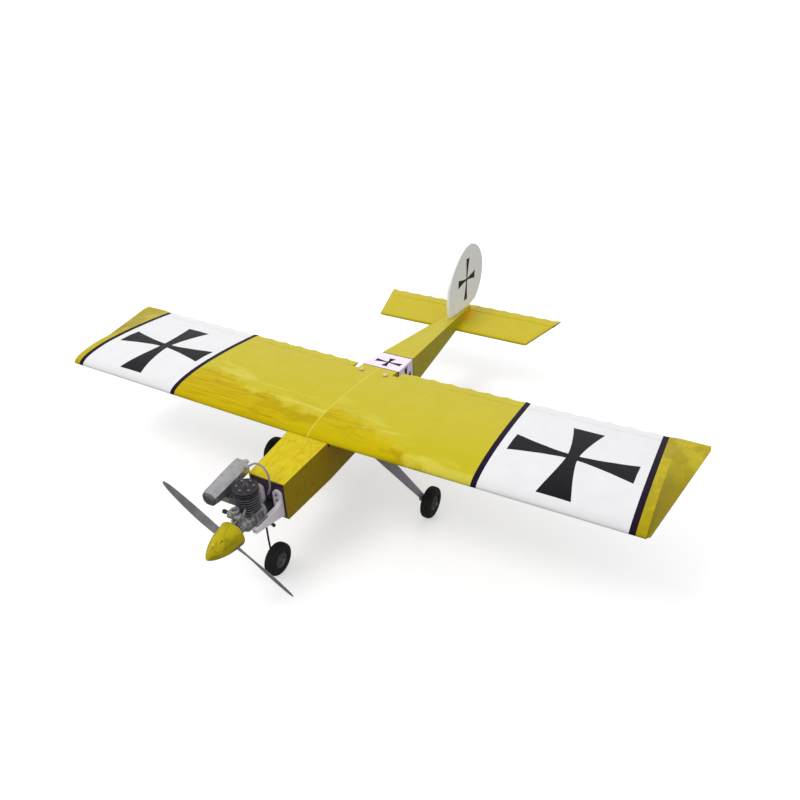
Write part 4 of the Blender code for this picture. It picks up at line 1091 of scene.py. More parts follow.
def side_cross(name, side):
    def on_side(u, v, lift):
        y = SIDE_CROSS[0] + u
        return (side * (half_width(y) + lift + DECAL_LIFT), y, SIDE_CROSS[1] + v)

    bm = cross_mesh(on_side, (0.0300, 0.0330) * 2, (0.0095, 0.0095) * 2, (0.0028, 0.0032), 1.5)
    piece(name, bm, PURPLE, "airframe", slot="covered_wood")


deck_cross()
side_cross("side_cross_left", 1)
side_cross("side_cross_right", -1)


# ================================================================ tail
def tail_span(y):
    return STAB_LE_SPAN + TAIL_RAKE * (y - STAB_LE_Y)


def tail_surface(name, body, y_of, half_of, columns=64, rows=14):
    """Flat tail surface with raked tips; y_of and half_of shape its section."""
    def at(sign):
        def point(i, j):
            u = -1 + 2 * i / columns
            y = y_of(u, j / rows)
            x = u * tail_span(y)
            wave = 0.00015 * noise.noise(Vector((x * 12.0, y * 40.0, 4.0 + sign)))
            return (x, y, STAB_Z + sign * (half_of(u, j / rows) + wave))
        return point

    bm = slab(columns, rows, at(1), at(-1))
    piece(name + "_skin", bm, YELLOW_TAIL, body, [name], "film_yellow", smooth=40)


def stab_y(u, share):
    return STAB_LE_Y + (STAB_TE_Y - STAB_LE_Y) * share ** 1.3


def stab_half(u, share):
    """Half thickness: rounded leading edge, flat behind, rounded tips."""
    reach = share * (STAB_TE_Y - STAB_LE_Y)
    edge = min(1.0, (1 - abs(u)) * STAB_LE_SPAN / 0.003)
    nose = math.sqrt(max(0.0, 1 - max(0.0, 1 - reach / 0.004) ** 2))
    return STAB_T / 2 * max(0.12, min(nose, 1.0)) * (0.45 + 0.55 * edge)


def elevator_edge(x):
    if abs(x) > tail_span(ELEVATOR_TE_Y) - 0.012:
        return ELEVATOR_TE_Y
    return ELEVATOR_TE_Y - scallop(abs(x), ELEVATOR_FIRST, ELEVATOR_PITCH, ELEVATOR_SCALLOP)


def elevator_y(u, share):
    start = HINGE_TAIL_Y + 0.0006
    return start + (elevator_edge(u * tail_span(ELEVATOR_TE_Y)) - start) * share


def elevator_half(u, share):
    """Half thickness: bevelled at the hinge, thickest just behind it, then a long taper."""
    crest = 0.075
    rise, fall = min(1.0, share / crest), max(0.0, share - crest) / (1 - crest)
    return 0.0005 + rise * 0.0033 - fall * 0.0028


tail_surface("stabilizer", "airframe", stab_y, stab_half)
tail_surface("elevator", "elevator_body", elevator_y, elevator_half, 144, 10)


def tilted(centre, u, v):
    """Point (y, z) that lies u aft and v up from a centre, in the fin's own leaning directions."""
    return (centre[0] + u * math.cos(FIN_TILT) + v * math.sin(FIN_TILT),
            centre[1] + v * math.cos(FIN_TILT) - u * math.sin(FIN_TILT))


def fin_point(angle):
    """Point of the rounded outline; each quarter has its own fullness."""
    u, v = math.cos(angle), math.sin(angle)
    power = 2.0
    if u < 0:
        power = 1.62 if v > 0 else 4.0
    scale = (abs(u) ** power + abs(v) ** power) ** (-1 / power)
    return tilted(FIN_CENTRE, FIN_RADII[0] * u * scale, FIN_RADII[1] * v * scale)


def hinge_line(rear):
    return HINGE_TAIL_Y + (FIN_HINGE_GAP if rear else -FIN_HINGE_GAP)


def fin_outline(rear):
    """Outline of the fin, or of the rudder behind it, as (y, z) points."""
    pts = [fin_point(math.radians(a)) for a in range(-180, 180, 3)]
    line = hinge_line(rear)
    top = (line, max(z for y, z in pts if abs(y - line) < 0.02) - 0.0008)
    if rear:
        arc = [p for p in pts if p[0] > line + 0.004 and p[1] > RUDDER_FOOT_Z + 0.0035]
        arc.sort(key=lambda p: math.atan2(p[1] - FIN_CENTRE[1], p[0] - FIN_CENTRE[0]))
        return [(line, RUDDER_FOOT_Z), *arc, top]
    arc = [p for p in pts if p[0] < line - 0.002 and p[1] > deck_z(p[0]) + 0.004]
    arc.sort(key=lambda p: math.atan2(p[1] + 0.06, 0.95 - p[0]))
    return [(FIN_FOOT_Y, deck_z(FIN_FOOT_Y) + GAP), *arc, top, (line, deck_z(line) + GAP)]


def tail_plate(name, rear, body):
    bm = prism(fin_outline(rear), "x", -FIN_T / 2, FIN_T / 2)
    if rear:
        edges = [e for e in bm.edges if all(abs(v.co.y - hinge_line(rear)) < 1e-5 for v in e.verts)
                 and abs(e.verts[0].co.x - e.verts[1].co.x) < 1e-6]
        bmesh.ops.bevel(bm, geom=edges, offset=RUDDER_BEVEL, segments=1, affect="EDGES")
    piece(name + "_skin", bm, LIT_FIN_WHITE, body, [name], "film_white", smooth=40, bevel=0.0016,
          segments=4)


tail_plate("fin", False, "airframe")
tail_plate("rudder", True, "rudder_body")

FIN_CROSS = (0.8510, 0.0290)


def split(bm, y, **clear):
    """Cut every face of a mesh along a plane across Y."""
    bmesh.ops.bisect_plane(bm, geom=bm.verts[:] + bm.edges[:] + bm.faces[:], dist=1e-6,
                           plane_co=(0, y, 0), plane_no=(0, 1, 0), **clear)


def fin_cross(name, side, rear, body):
    """The part of the fin's cross ahead of or behind the rudder's hinge line."""
    def on_fin(u, v, lift):
        return (side * (FIN_T / 2 + lift), *tilted(FIN_CROSS, u, v))

    bm = cross_mesh(on_fin, (0.0612, 0.0645) * 2, (0.0128, 0.0118) * 2, (0.0030, 0.0038), 1.45)
    split(bm, hinge_line(rear), clear_outer=not rear, clear_inner=rear)
    bmesh.ops.holes_fill(bm, edges=[e for e in bm.edges if e.is_boundary], sides=0)
    if rear:
        bend_y = hinge_line(rear) + RUDDER_BEVEL
        split(bm, bend_y)
        for vert in bm.verts:
            vert.co.x -= side * max(0.0, bend_y - vert.co.y)
    piece(name, bm, BLACK, body, slot="film_white")


for label, side in (("left", 1), ("right", -1)):
    fin_cross(f"fin_cross_{label}", side, False, "airframe")
    fin_cross(f"rudder_cross_{label}", side, True, "rudder_body")


# ================================================================ engine
STACK = Vector((0, ENGINE_Y, 0))
CARB = Vector((0, CARB_Y, CARB_Z))


def fins(r_out, r_in, z0, pitch, count, web):
    """Turned profile with a rounded fin every pitch, from the bottom up."""
    lip = web * 0.3
    pts = [(0, z0)]
    for k in range(count):
        z = z0 + k * pitch
        pts += [(r_out - lip, z), (r_out, z + lip), (r_out, z + web - lip), (r_out - lip, z + web)]
        if k < count - 1:
            pts += [(r_in, z + web + lip), (r_in, z + pitch - lip)]
    pts.append((0, pts[-1][1]))
    return pts


def darken(bm, radius, floor_z):
    """Give the walls between the fins the second, darker material: painted shade in the recesses."""
    for face in bm.faces:
        spot = face.calc_center_median()
        if (spot - STACK).xy.length < radius and abs(face.normal.z) < 0.5 and spot.z > floor_z:
            face.material_index = 1


def screws(name, *heads):
    """Screw heads of one joint, as one piece."""
    piece(name, merge(*heads), STEEL, "airframe", slot="bright_steel")


def casting_piece(name, node, bm, look=CAST, **extra):
    piece(name, bm, look, "airframe", [node], "cast_aluminium", **extra)


CASE = ((0, -0.2580), (0.0100, -0.2580), (0.0106, -0.2574), (0.0120, -0.2480),
        (0.0150, -0.2370), (0.0190, -0.2336), (0.0205, -0.2320),
        (0.0205, -0.1850), (0.0195, -0.1840), (0, -0.1840))
CASE_RIBS = 3
WALL_RIBS = 4


def crankcase():
    """Turned case with the cylinder's seat, the intake boss, the lugs and the ribs."""
    case = merge(lathe(CASE, "y", THRUST_LINE, 56),
                 rod(0.0204, 0.0, 0.0232, "z", (0, ENGINE_Y, THRUST_Z), 56, 0.0008),
                 rod(0.0085, 0.0, 0.0167, "z", (0, CARB_Y, THRUST_Z), 32, 0.0005),
                 box((-0.0295, -0.2255, THRUST_Z - 0.0037), (0.0295, -0.1925, THRUST_Z + 0.0023)))
    for side in (-1, 1):
        for k in range(CASE_RIBS):
            rib = box((-0.0008, -0.2560, 0.0), (0.0008, -0.2335, 0.0175 - 0.0012 * k))
            merge(case, about_thrust_line(rib, math.radians(28 + 34 * k) * side))
        for k in range(WALL_RIBS):
            x, y = side * 0.0215, -0.2270 + 0.0105 * k
            merge(case, box((x - 0.0016, y - 0.0009, THRUST_Z + 0.0015),
                            (x + 0.0016, y + 0.0009, THRUST_Z + 0.0120)))
    merge(case, box((-0.0205, -0.2290, THRUST_Z + 0.0150), (0.0205, -0.1890, THRUST_Z + 0.0185)))
    casting_piece("crankcase_casting", "crankcase", case, bevel=0.0005)


def cylinder():
    """Finned barrel with the exhaust port's block and the feet of its screws."""
    barrel = merge(lathe(fins(0.0245, 0.0200, -0.0300, 0.0058, 7, 0.0018), "z", STACK, 64),
                   box((-0.0335, -0.2215, -0.0252), (-0.0120, -0.1965, -0.0080)))
    for side in (-1, 1):
        merge(barrel, box((side * 0.0175 - 0.003, -0.2270, -0.0300),
                          (side * 0.0175 + 0.003, -0.2210, -0.0240)))
    darken(barrel, 0.0222, -0.0300)
    casting_piece("cylinder_casting", "cylinder", barrel, [CYLINDER_CAST, FIN_RECESS_SHADE], bevel=0.0003)
    screws("cylinder_base_screws",
           *[screw_head((x, y, THRUST_Z + 0.0185), "z", 0.0022, 0.0030)
             for y in (-0.2250, -0.1930) for x in (-0.0175, 0.0175)])


PLUG_SEAT = ((0, 0.0196), (0.0038, 0.0196), (0.0038, 0.0225), (0, 0.0225))
PLUG_TOP = ((0, 0.0262), (0.0024, 0.0262), (0.0024, 0.0300), (0.0013, 0.0306),
            (0.0013, 0.0330), (0.0008, 0.0338), (0, 0.0338))


def head_and_plug():
    head = lathe(fins(0.0252, 0.0200, 0.0103, 0.0050, 3, 0.0020), "z", STACK, 64)
    darken(head, 0.0228, 0.0103)
    piece("finned_head", head, [DARK_HEAD, FIN_RECESS_SHADE], "airframe", ["cylinder_head"], "dark_aluminium",
          bevel=0.0002)
    screws("head_screws", *[screw_head(STACK + spot + Vector((0, 0, 0.0223)), "z", 0.0024, 0.0030)
                            for spot in around(6, 30, 0.0165, "x", "y")])
    boss = lathe([(0.0042, 0.0223), (0.0085, 0.0223), (0.0078, 0.0240), (0.0046, 0.0243)],
                 "z", STACK, 32, True)
    piece("plug_boss", boss, DARK_HEAD, "airframe", slot="dark_aluminium")
    plug = merge(hexagon(STACK, "z", 0.0042, 0.0224, 0.0262), lathe(PLUG_SEAT, "z", STACK, 20),
                 lathe(PLUG_TOP, "z", STACK, 20))
    piece("glow_plug_fine", plug, BRASS, "airframe", ["glow_plug"], "brass")


COVER = ((0, -0.1837), (0.0195, -0.1837), (0.0197, -0.1834), (0.0195, -0.1812),
         (0.0150, -0.1799), (0.0080, -0.1797), (0.0060, -0.1803), (0, -0.1803))


def rear_cover():
    casting_piece("rear_cover_casting", "crankcase_cover", lathe(COVER, "y", THRUST_LINE, 48))
    screws("rear_cover_screws",
           *[screw_head(THRUST_LINE + spot + Vector((0, -0.1808, 0)), "y", 0.0020, 0.0022)
             for spot in around(4, 45, 0.0168, "x", "z")])


CARB_BARREL = ((0, -0.0150), (0.0080, -0.0150), (0.0088, -0.0142), (0.0088, 0.0142),
               (0.0080, 0.0150), (0.0060, 0.0150), (0.0058, 0.0120), (0, 0.0120))
CARB_THROAT = ((0.0042, 0.0020), (0.0080, 0.0020), (0.0080, 0.0120), (0.0092, 0.0130),
               (0.0092, 0.0146), (0.0086, 0.0152), (0.0060, 0.0152), (0.0044, 0.0120))
CLAMP_RING = ((0.0066, -0.0135), (0.0078, -0.0135), (0.0078, -0.0105), (0.0066, -0.0105))
LEVER = ((-0.0045, -0.0030), (0.0045, -0.0030), (0.0070, 0.0020), (0.0120, 0.0110),
         (0.0116, 0.0136), (0.0092, 0.0144), (0.0070, 0.0128), (0.0000, 0.0050))
KNOB_R = 0.0042
KNOB = ((0, -0.0300), (0.0036, -0.0300), (KNOB_R, -0.0294), (KNOB_R, -0.0222), (0.0036, -0.0215),
        (0.0018, -0.0205), (0.0018, -0.0153), (0, -0.0153))


def carburettor():
    """Body with its throat, clamp ring, spray bar and idle screw; throttle lever; needle knob."""
    idle_screw = CARB + Vector((-0.0110, 0.004, -0.003))
    clamp_screw = CARB + Vector((0.0078, -0.0020, -0.0045))
    body = merge(lathe(CARB_BARREL, "x", CARB, 40), lathe(CARB_THROAT, "z", CARB, 40, True),
                 rod(0.0065, -0.0160, 0.0, "z", CARB, 32),
                 rod(0.0021, -0.0240, -0.0140, "x", CARB, 16),
                 rod(0.0016, 0.0, 0.0130, "y", idle_screw, 14),
                 rod(0.0030, -0.0178, -0.0135, "x", CARB, 6),
                 lathe(CLAMP_RING, "z", CARB, 32, True),
                 rod(0.0015, -0.0135, -0.0065, "y", clamp_screw, 12),
                 rod(0.0026, -0.0150, -0.0132, "y", clamp_screw, 12))
    casting_piece("carburettor_casting", "carburettor", body, bevel=0.0002)
    lever = prism([(CARB_Y + a, CARB_Z + b) for a, b in LEVER], "x", 0.0160, 0.0180)
    turning = merge(rod(0.0055, 0.0120, 0.0168, "x", CARB, 32, 0.0004), lever,
                    screw_head(CARB + Vector((0.0168, 0, 0)), "x", 0.0030, 0.0022))
    piece("throttle_lever", turning, STEEL, "throttle", ["throttle_barrel"], "bright_steel",
          origin=CARB, bevel=0.0002)
    knob = lathe(KNOB, "x", CARB, 40)
    for vert in knob.verts:
        arm = (vert.co - CARB).yz
        if abs(arm.length - KNOB_R) < 2e-4 and round(math.atan2(arm.y, arm.x) / (math.pi / 20)) % 4 == 0:
            vert.co.yz = CARB.yz + arm * 0.93
    piece("needle_knob", knob, BLACK_NYLON, "needle", ["needle_valve"], "black_nylon", origin=CARB)


MUFFLER_MID = Vector((-0.0515, -0.2040, 0.0115))
MUFFLER_TURN = Matrix.Rotation(math.radians(5.0), 3, "X")
CAN = ((-0.0570, 0.0085, 0.0085), (-0.0562, 0.0110, 0.0110), (-0.0545, 0.0134, 0.0134),
       (-0.0510, 0.0153, 0.0153), (-0.0420, 0.0168, 0.0168), (0.0100, 0.0182, 0.0182),
       (0.0480, 0.0182, 0.0182), (0.0508, 0.0170, 0.0170), (0.0520, 0.0150, 0.0150))


def can_ring(d, half_x, half_z, corner=0.45, steps=3):
    """Eight-sided section with softened corners, d along the can from its middle."""
    flat = [(1, corner), (corner, 1), (-corner, 1), (-1, corner), (-1, -corner),
            (-corner, -1), (corner, -1), (1, -corner)]
    ring = []
    for (ax, az), (bx, bz), (cx, cz) in zip(flat[-1:] + flat, flat, flat[1:] + flat[:1]):
        for k in range(steps):
            t = 0.85 + 0.30 * k / (steps - 1)
            px, pz = ((ax + (bx - ax) * t, az + (bz - az) * t) if t <= 1 else
                      (bx + (cx - bx) * (t - 1), bz + (cz - bz) * (t - 1)))
            ring.append(MUFFLER_MID + MUFFLER_TURN @ Vector((px * half_x, d, pz * half_z)))
    return ring


PIPE = ((0.0500, 0.0048), (0.0658, 0.0048), (0.0660, 0.0046), (0.0660, 0.0036), (0.0540, 0.0036))
NIPPLE = ((0, -0.004), (0.0030, -0.004), (0.0030, 0.0012), (0.0026, 0.0016),
          (0.0017, 0.0018), (0.0017, 0.0060), (0, 0.0060))


def muffler():
    """Can with a dark front cap, a seam and an outlet, its neck and its pressure nipple."""
    can = loft([can_ring(*section) for section in CAN], zone=lambda k: 1 if k < 3 else 0)
    for face in can.faces:
        if len(face.verts) > 4 and face.calc_center_median().y < MUFFLER_MID.y:
            face.material_index = 1
    seam = loft([can_ring(d, 0.0173, 0.0173) for d in (-0.0400, -0.0386)])
    pipe = loft([can_ring(d, r, r, 0.6) for d, r in PIPE])
    casting_piece("muffler_can", "muffler", merge(can, seam, pipe), [MUFFLER_CAST, END_CAP],
                  bevel=0.0006, smooth=28)
    neck = box((-0.0600, -0.2225, -0.0260), (-0.0338, -0.1955, -0.0098))
    casting_piece("exhaust_neck", "exhaust_manifold", neck, MUFFLER_CAST, bevel=0.0025, segments=4)
    rear = MUFFLER_MID + MUFFLER_TURN @ Vector((0.0170, 0.0400, 0.0088))
    piece("pressure_nipple", lathe(NIPPLE, "x", rear, 16), STEEL, "airframe", slot="bright_steel")


HOSE_ROUTE = ((-0.0300, -0.1640, 0.0240), (-0.0235, -0.1590, 0.0312), (-0.0120, -0.1560, 0.0362),
              (0.0030, -0.1560, 0.0335), (0.0130, -0.1570, 0.0220), (0.0165, -0.1580, 0.0060),
              (0.0160, -0.1585, -0.0110), (0.0105, -0.1575, -0.0260), (0.0035, -0.1530, -0.0385),
              (0.0000, -0.1452 - GAP, -0.0430))


def hose():
    piece("pressure_tube", sweep(curve_through(HOSE_ROUTE, 8), 0.0020, 20), HOSE, "airframe",
          ["pressure_hose"], "silicone_tube")


def engine_mount(name, side):
    """Nylon half mount: flange with a rounded top, and a ribbed beam under the lugs."""
    centre, half = (BEAM_IN + BEAM_OUT) / 2 - 0.0040, 0.0110
    top, bottom, face_y = -0.0255, -0.0908, FIREWALL_Y - 0.0052
    arc = [(centre + half * math.cos(t), top - half + half * math.sin(t))
           for t in [math.pi * k / 24 for k in range(25)]]
    outline = [(side * x, z) for x, z in [(centre + half, bottom)] + arc + [(centre - half, bottom)]]
    flange = prism(outline, "y", face_y, FIREWALL_Y - GAP)
    beam = [(FIREWALL_Y - 0.004, BEAM_TOP + 0.012), (FIREWALL_Y - 0.008, BEAM_TOP + 0.004),
            (FIREWALL_Y - 0.012, BEAM_TOP), (BEAM_FRONT, BEAM_TOP), (BEAM_FRONT, BEAM_TOP - 0.010),
            (FIREWALL_Y - 0.014, -0.0870), (FIREWALL_Y - 0.004, -0.0895)]
    a, b = sorted((side * BEAM_IN, side * BEAM_OUT))
    body = merge(flange, prism(beam, "x", a, b))
    piece(name + "_moulding", body, NYLON, "airframe", [name], "white_nylon", bevel=0.0007,
          segments=3)
    screws(name + "_screws",
           *[screw_head((side * centre, face_y, z), "y", 0.0027, 0.0030, -1)
             for z in (-0.0345, -0.0480)],
           *[screw_head((side * 0.0262, y, THRUST_Z + 0.0023), "z", 0.0024, 0.0030)
             for y in (-0.2200, -0.1980)])


crankcase()
cylinder()
head_and_plug()
rear_cover()
carburettor()
muffler()
hose()
engine_mount("engine_mount_left", 1)
engine_mount("engine_mount_right", -1)


# ================================================================ propeller
HUB = Vector((0, PROP_Y, THRUST_Z))
# share of the spinner's length, and its breadth there
OGIVE = ((0.0, 1.0), (0.18, 0.955), (0.36, 0.865), (0.54, 0.735), (0.70, 0.575),
         (0.84, 0.385), (0.94, 0.20), (1.0, 0.0))


def spinner():
    """Hollow nose cone with an opening for each blade and two key slots, and its back plate."""
    length = SPINNER_TIP - SPINNER_BASE
    wall, corner = 0.0015, 0.0004
    shares = [math.sin(math.pi / 2 * k / 28) for k in range(29)]
    smooth = []
    for s in shares:
        near = [between(OGIVE, min(1.0, max(0.0, s + d)))[0] for d in (-0.05, 0.0, 0.05)]
        smooth.append(sum(near) / 3 if 0.06 < s < 0.93 else near[1])
    skin = [(SPINNER_R * k, SPINNER_BASE + length * s) for s, k in zip(shares, smooth)]
    skin = [(SPINNER_R - corner, SPINNER_BASE), (SPINNER_R, SPINNER_BASE - corner)] + skin[1:]
    lining = [((SPINNER_R - wall) * k, SPINNER_BASE + (length + 0.004) * s)
              for s, k in zip(shares, smooth)]
    shell = piece("spinner_shell", lathe(lining[::-1] + skin, "y", THRUST_LINE, 96), SPINNER_YELLOW,
                  "propeller_group", ["spinner"], "yellow_plastic", origin=HUB, smooth=45)
    openings = [(turn, (0.012, -0.2877, -0.0088), (0.05, -0.2600, 0.0088))
                for turn in (PROP_ROLL, PROP_ROLL + math.pi)]
    openings += [(turn, (0.018, -0.3080, -0.0007), (0.05, -0.3010, 0.0007))
                 for turn in (math.radians(-62), math.radians(118))]
    for turn, lo, hi in openings:
        carve(shell, about_thrust_line(box(lo, hi), turn))
    plate = lathe(chamfered(PROP_BORE, 0.0283, -0.2661, -0.2631), "y", THRUST_LINE, 96, True)
    piece("spinner_back", plate, SPINNER_YELLOW, "propeller_group", ["spinner_backplate"],
          "yellow_plastic", origin=HUB)


# radius, width and thickness of a blade
BLADE = ((0.006, 0.0140, 0.0110), (0.022, 0.0150, 0.0085), (0.036, 0.0168, 0.0068),
         (0.055, 0.0196, 0.0055), (0.080, 0.0218, 0.0044), (0.105, 0.0216, 0.0035),
         (0.130, 0.0192, 0.0027), (0.150, 0.0152, 0.0021), (0.161, 0.0105, 0.0016),
         (PROP_R, 0.0050, 0.0012))


def blade(half_turn):
    """Blade with a cambered front and flat rear face, twisted to a constant pitch."""
    turn = PROP_ROLL + half_turn
    out = Vector((math.cos(turn), 0, -math.sin(turn)))
    swing = Vector((math.sin(turn), 0, math.cos(turn)))
    root = BLADE[0][0]
    radii = [root + (PROP_R - root) * (k / 40) for k in range(41)]
    rings = []
    for k, r in enumerate(radii):
        near = [between(BLADE, min(PROP_R, max(root, r + d))) for d in (-0.006, 0, 0.006)]
        width, thick = near[1] if k == len(radii) - 1 else [sum(n) / 3 for n in zip(*near)]
        angle = min(math.atan2(PROP_PITCH, 2 * math.pi * r), math.radians(42))
        lead = swing * math.cos(angle) + Vector((0, -math.sin(angle), 0))
        face = lead.cross(out).normalized()
        sweep_ahead = BLADE_SWEEP * math.sin(math.pi * (r / PROP_R) ** 0.8)
        ring = []
        for i in range(24):
            t = 2 * math.pi * i / 24
            bulge = math.sin(t) * (0.62 if math.sin(t) < 0 else 1.0)
            ring.append(HUB + out * r + lead * sweep_ahead + lead * (width / 2 * math.cos(t))
                        + face * (thick / 2 * bulge * (0.8 + 0.2 * math.cos(t))))
        rings.append(ring)
    return loft(rings)


def propeller():
    hub = lathe(chamfered(PROP_BORE, 0.0125, -0.2863, -0.2664, 0.0007), "y", THRUST_LINE, 48, True)
    piece("propeller_moulding", merge(hub, blade(0.0), blade(math.pi)), PROP_GREY,
          "propeller_group", ["propeller"], "grey_plastic", origin=HUB, smooth=50)


spinner()
propeller()


# ================================================================ wheels and legs
def tyre_profile(crown):
    """Rounded section with two tread grooves and a moulded ring on each wall."""
    half, bead = TYRE_W / 2, HUB_R
    pts = [(bead, half - 0.0045), (bead + 0.0016, half - 0.0022), (bead + 0.0032, half - 0.0014),
           (bead + 0.0040, half - 0.0012), (bead + 0.0046, half - 0.0007), (bead + 0.0058, half - 0.0006)]
    steps = 14
    for k in range(steps + 1):
        t = math.pi / 2 * k / steps
        r = SHOULDER_R + (crown - SHOULDER_R) * math.sin(t) ** 0.9
        pts.append((min(r, crown), half * math.cos(t) ** 0.62))
    groove = [(crown - 0.0002, 0.0052), (crown - 0.0010, 0.0048), (crown - 0.0010, 0.0040),
              (crown - 0.0001, 0.0036)]
    pts = [p for p in pts if p[1] > 0.0058]
    outer = pts + groove + [(crown, 0.0015)]
    return outer + [(r, -h) for r, h in outer[::-1]]


def hub_profile(bore):
    half = TYRE_W / 2
    return [(bore, half - 0.0005), (0.0046, half - 0.0005), (0.0052, half - 0.0011),
            (0.0058, half - 0.0038), (0.0072, half - 0.0052), (0.0128, half - 0.0058),
            (0.0142, half - 0.0048), (0.0150, half - 0.0030), (0.0165, half - 0.0024),
            (HUB_R - 0.0003, half - 0.0032)]


def wheel(prefix, nodes, centre, body, radius=WHEEL_R):
    """Two-part hub with round lightening holes, and a soft tyre with tread grooves."""
    hub_node, tyre_node = nodes
    face = hub_profile(0.0023)
    hub = piece(prefix + "_hub_moulding",
                lathe(face + [(r, -h) for r, h in face[::-1]], "x", centre, 64, True),
                HUB_GREY, body, [hub_node], "hub_plastic", origin=centre)
    for spot in around(5, 0, 0.0100, "y", "z"):
        for lo, hi in ((0.0045, 0.02), (-0.02, -0.0045)):
            carve(hub, rod(0.0019, lo, hi, "x", centre + spot, 20))
    piece(prefix + "_tyre_moulding", lathe(tyre_profile(radius), "x", centre, 96, True), TYRE, body,
          [tyre_node], "tyre_rubber", origin=centre, smooth=40)


def collar(name, centre, inner, outer, width, body):
    """Wheel collar with its grub screw."""
    ring = lathe(chamfered(inner, outer, -width / 2, width / 2), "x", centre, 32, True)
    grub = lathe([(0, 0), (0.0011, 0), (0.0011, outer + 0.0012), (0.0007, outer + 0.0012),
                  (0.0006, outer + 0.0005), (0, outer + 0.0005)], "z", centre, 12)
    piece(name, merge(ring, grub), STEEL, body, slot="bright_steel")


STEERING_BOSS = ((0.0023, -0.1035), (0.0050, -0.1035), (0.0056, -0.1030), (0.0056, -0.0970),
                 (0.0050, -0.0965), (0.0023, -0.0965))
STEERING_BAR = ((0.0045, 0.0034), (0.0225, 0.0026), (0.0238, 0.0012), (0.0240, 0.0))
STEERING_BALL = ((0, -0.1050), (0.0022, -0.1048), (0.0034, -0.1036), (0.0036, -0.1015),
                 (0.0030, -0.0990), (0.0018, -0.0975), (0, -0.0972))


def nose_gear():
    """Bent wire strut with its collar, and the steering lever clamped on it."""
    x, y, z = NOSE_AXLE
    strut = ((0, STRUT_Y, -0.0560), (0, STRUT_Y, -0.1500), (0, y, -0.1800), (0, y, z),
             (x + 0.0165, y, z))
    piece("nose_strut_wire", sweep(rounded(strut, 0.003), WIRE_R, 20), BLACK_WIRE, "nose_gear",
          ["nose_strut"], "black_wire")
    collar("nose_wheel_collar", NOSE_AXLE + Vector((0.0146, 0, 0)), 0.0018, 0.0040, 0.0030, "nose_gear")
    arm = lathe(STEERING_BOSS, "z", (0, STRUT_Y, 0), 40, True)
    edge = [(x, STRUT_Y - half) for x, half in STEERING_BAR]
    edge += [(x, STRUT_Y + half) for x, half in STEERING_BAR[-2::-1]]
    bar = prism(edge, "z", -0.1018, -0.0987)
    ball = lathe(STEERING_BALL, "z", (0.0208, STRUT_Y, 0), 20)
    piece("steering_lever", merge(arm, bar, ball), BLACK_NYLON, "nose_gear", ["steering_arm"],
          "black_nylon", bevel=0.0003)


def gear_leg(name, side):
    """Bent dural strap: foot under the belly, sloping leg, upright axle tab."""
    top = BELLY_Z - GAP
    corners = [(0.0040, top - LEG_T / 2), (LEG_BEND_X, top - LEG_T / 2), (LEG_TAB_X, -0.2060),
               (LEG_TAB_X, -0.2190)]
    line = rounded([(x, z, 0) for x, z in corners], 0.008, 6)
    total = sum((b - a).length for a, b in zip(line, line[1:]))
    rings = []
    done, edge = 0.0, 0.0008
    for k, here in enumerate(line):
        done += (here - line[k - 1]).length if k else 0.0
        before, after = line[max(k - 1, 0)], line[min(k + 1, len(line) - 1)]
        run = (after - before).normalized()
        lean = max(0.0, (here.x - LEG_BEND_X) / (LEG_TAB_X - LEG_BEND_X))
        front, rear = [a + (b - a) * lean for a, b in zip(LEG_ROOT_Y, LEG_END_Y)]
        if done / total > 0.985:
            front, rear = LEG_TAB_Y
        nx, nz = -run.y * LEG_T / 2, run.x * LEG_T / 2
        profile = ((front, -0.4), (front + edge, -1), (rear - edge, -1), (rear, -0.4),
                   (rear, 0.4), (rear - edge, 1), (front + edge, 1), (front, 0.4))
        rings.append([(side * (here.x + nx * s), y, here.y + nz * s) for y, s in profile])
    piece(name + "_strap", loft(rings), DURAL, "airframe", [name], "dural_sheet", smooth=25)
    screws(name + "_screws", *[screw_head((side * 0.0250, y, top - LEG_T), "z", 0.0030, 0.0026, -1)
                               for y in (0.1450, 0.1670)])


def main_axle(name, side):
    """Axle bolt with a hexagon nut on each side of the leg and a retaining collar."""
    centre = Vector((0, MAIN_AXLE.y, MAIN_AXLE.z))
    shank, inner_nut, outer_nut, stop = [
        sorted((side * a, side * b)) for a, b in
        ((0.1925, 0.2385), (0.1948, 0.1998), (0.2060, 0.2090), (0.2360, 0.2385))]
    shaft = merge(rod(WIRE_R, *shank, "x", centre, 20), hexagon(centre, "x", 0.0046, *inner_nut),
                  hexagon(centre, "x", 0.0046, *outer_nut),
                  lathe(chamfered(0.0015, 0.0042, *stop), "x", centre, 28, True))
    piece(name + "_fine", shaft, STEEL, "airframe", [name], "bright_steel")


wheel("nose", ("nose_hub", "nose_tyre"), NOSE_AXLE, "nose_wheel", NOSE_WHEEL_R)
nose_gear()
for label, side in (("left", 1), ("right", -1)):
    gear_leg(f"main_gear_leg_{label}", side)
    main_axle(f"main_axle_{label}", side)
    wheel(f"main_{label}", (f"main_hub_{label}", f"main_tyre_{label}"),
          Vector((side * MAIN_AXLE.x, MAIN_AXLE.y, MAIN_AXLE.z)), f"main_wheel_{label}")


# ================================================================ bolts of the wing
def wing_bolt(name, side):
    """Nylon bolt with a slotted pan head on the wing's top."""
    x, y = side * WING_BOLT[0], WING_BOLT[1]
    head = half_thickness(y - 0.0065, UPPER_T) + 0.040 * DIHEDRAL + GAP
    bolt = lathe([(0, -0.0220), (0.0030, -0.0220), (0.0030, head), (0.0058, head),
                  (0.0062, head + 0.0004), (0.0062, head + 0.0020), (0.0054, head + 0.0030),
                  (0.0030, head + 0.0034), (0, head + 0.0034)], "z", (x, y, 0), 40)
    made = piece(name + "_fine", bolt, CREAM_NYLON, "airframe", [name], "white_nylon")
    carve(made, box((x - 0.01, y - 0.0006, head + 0.0020), (x + 0.01, y + 0.0006, 0.05)))


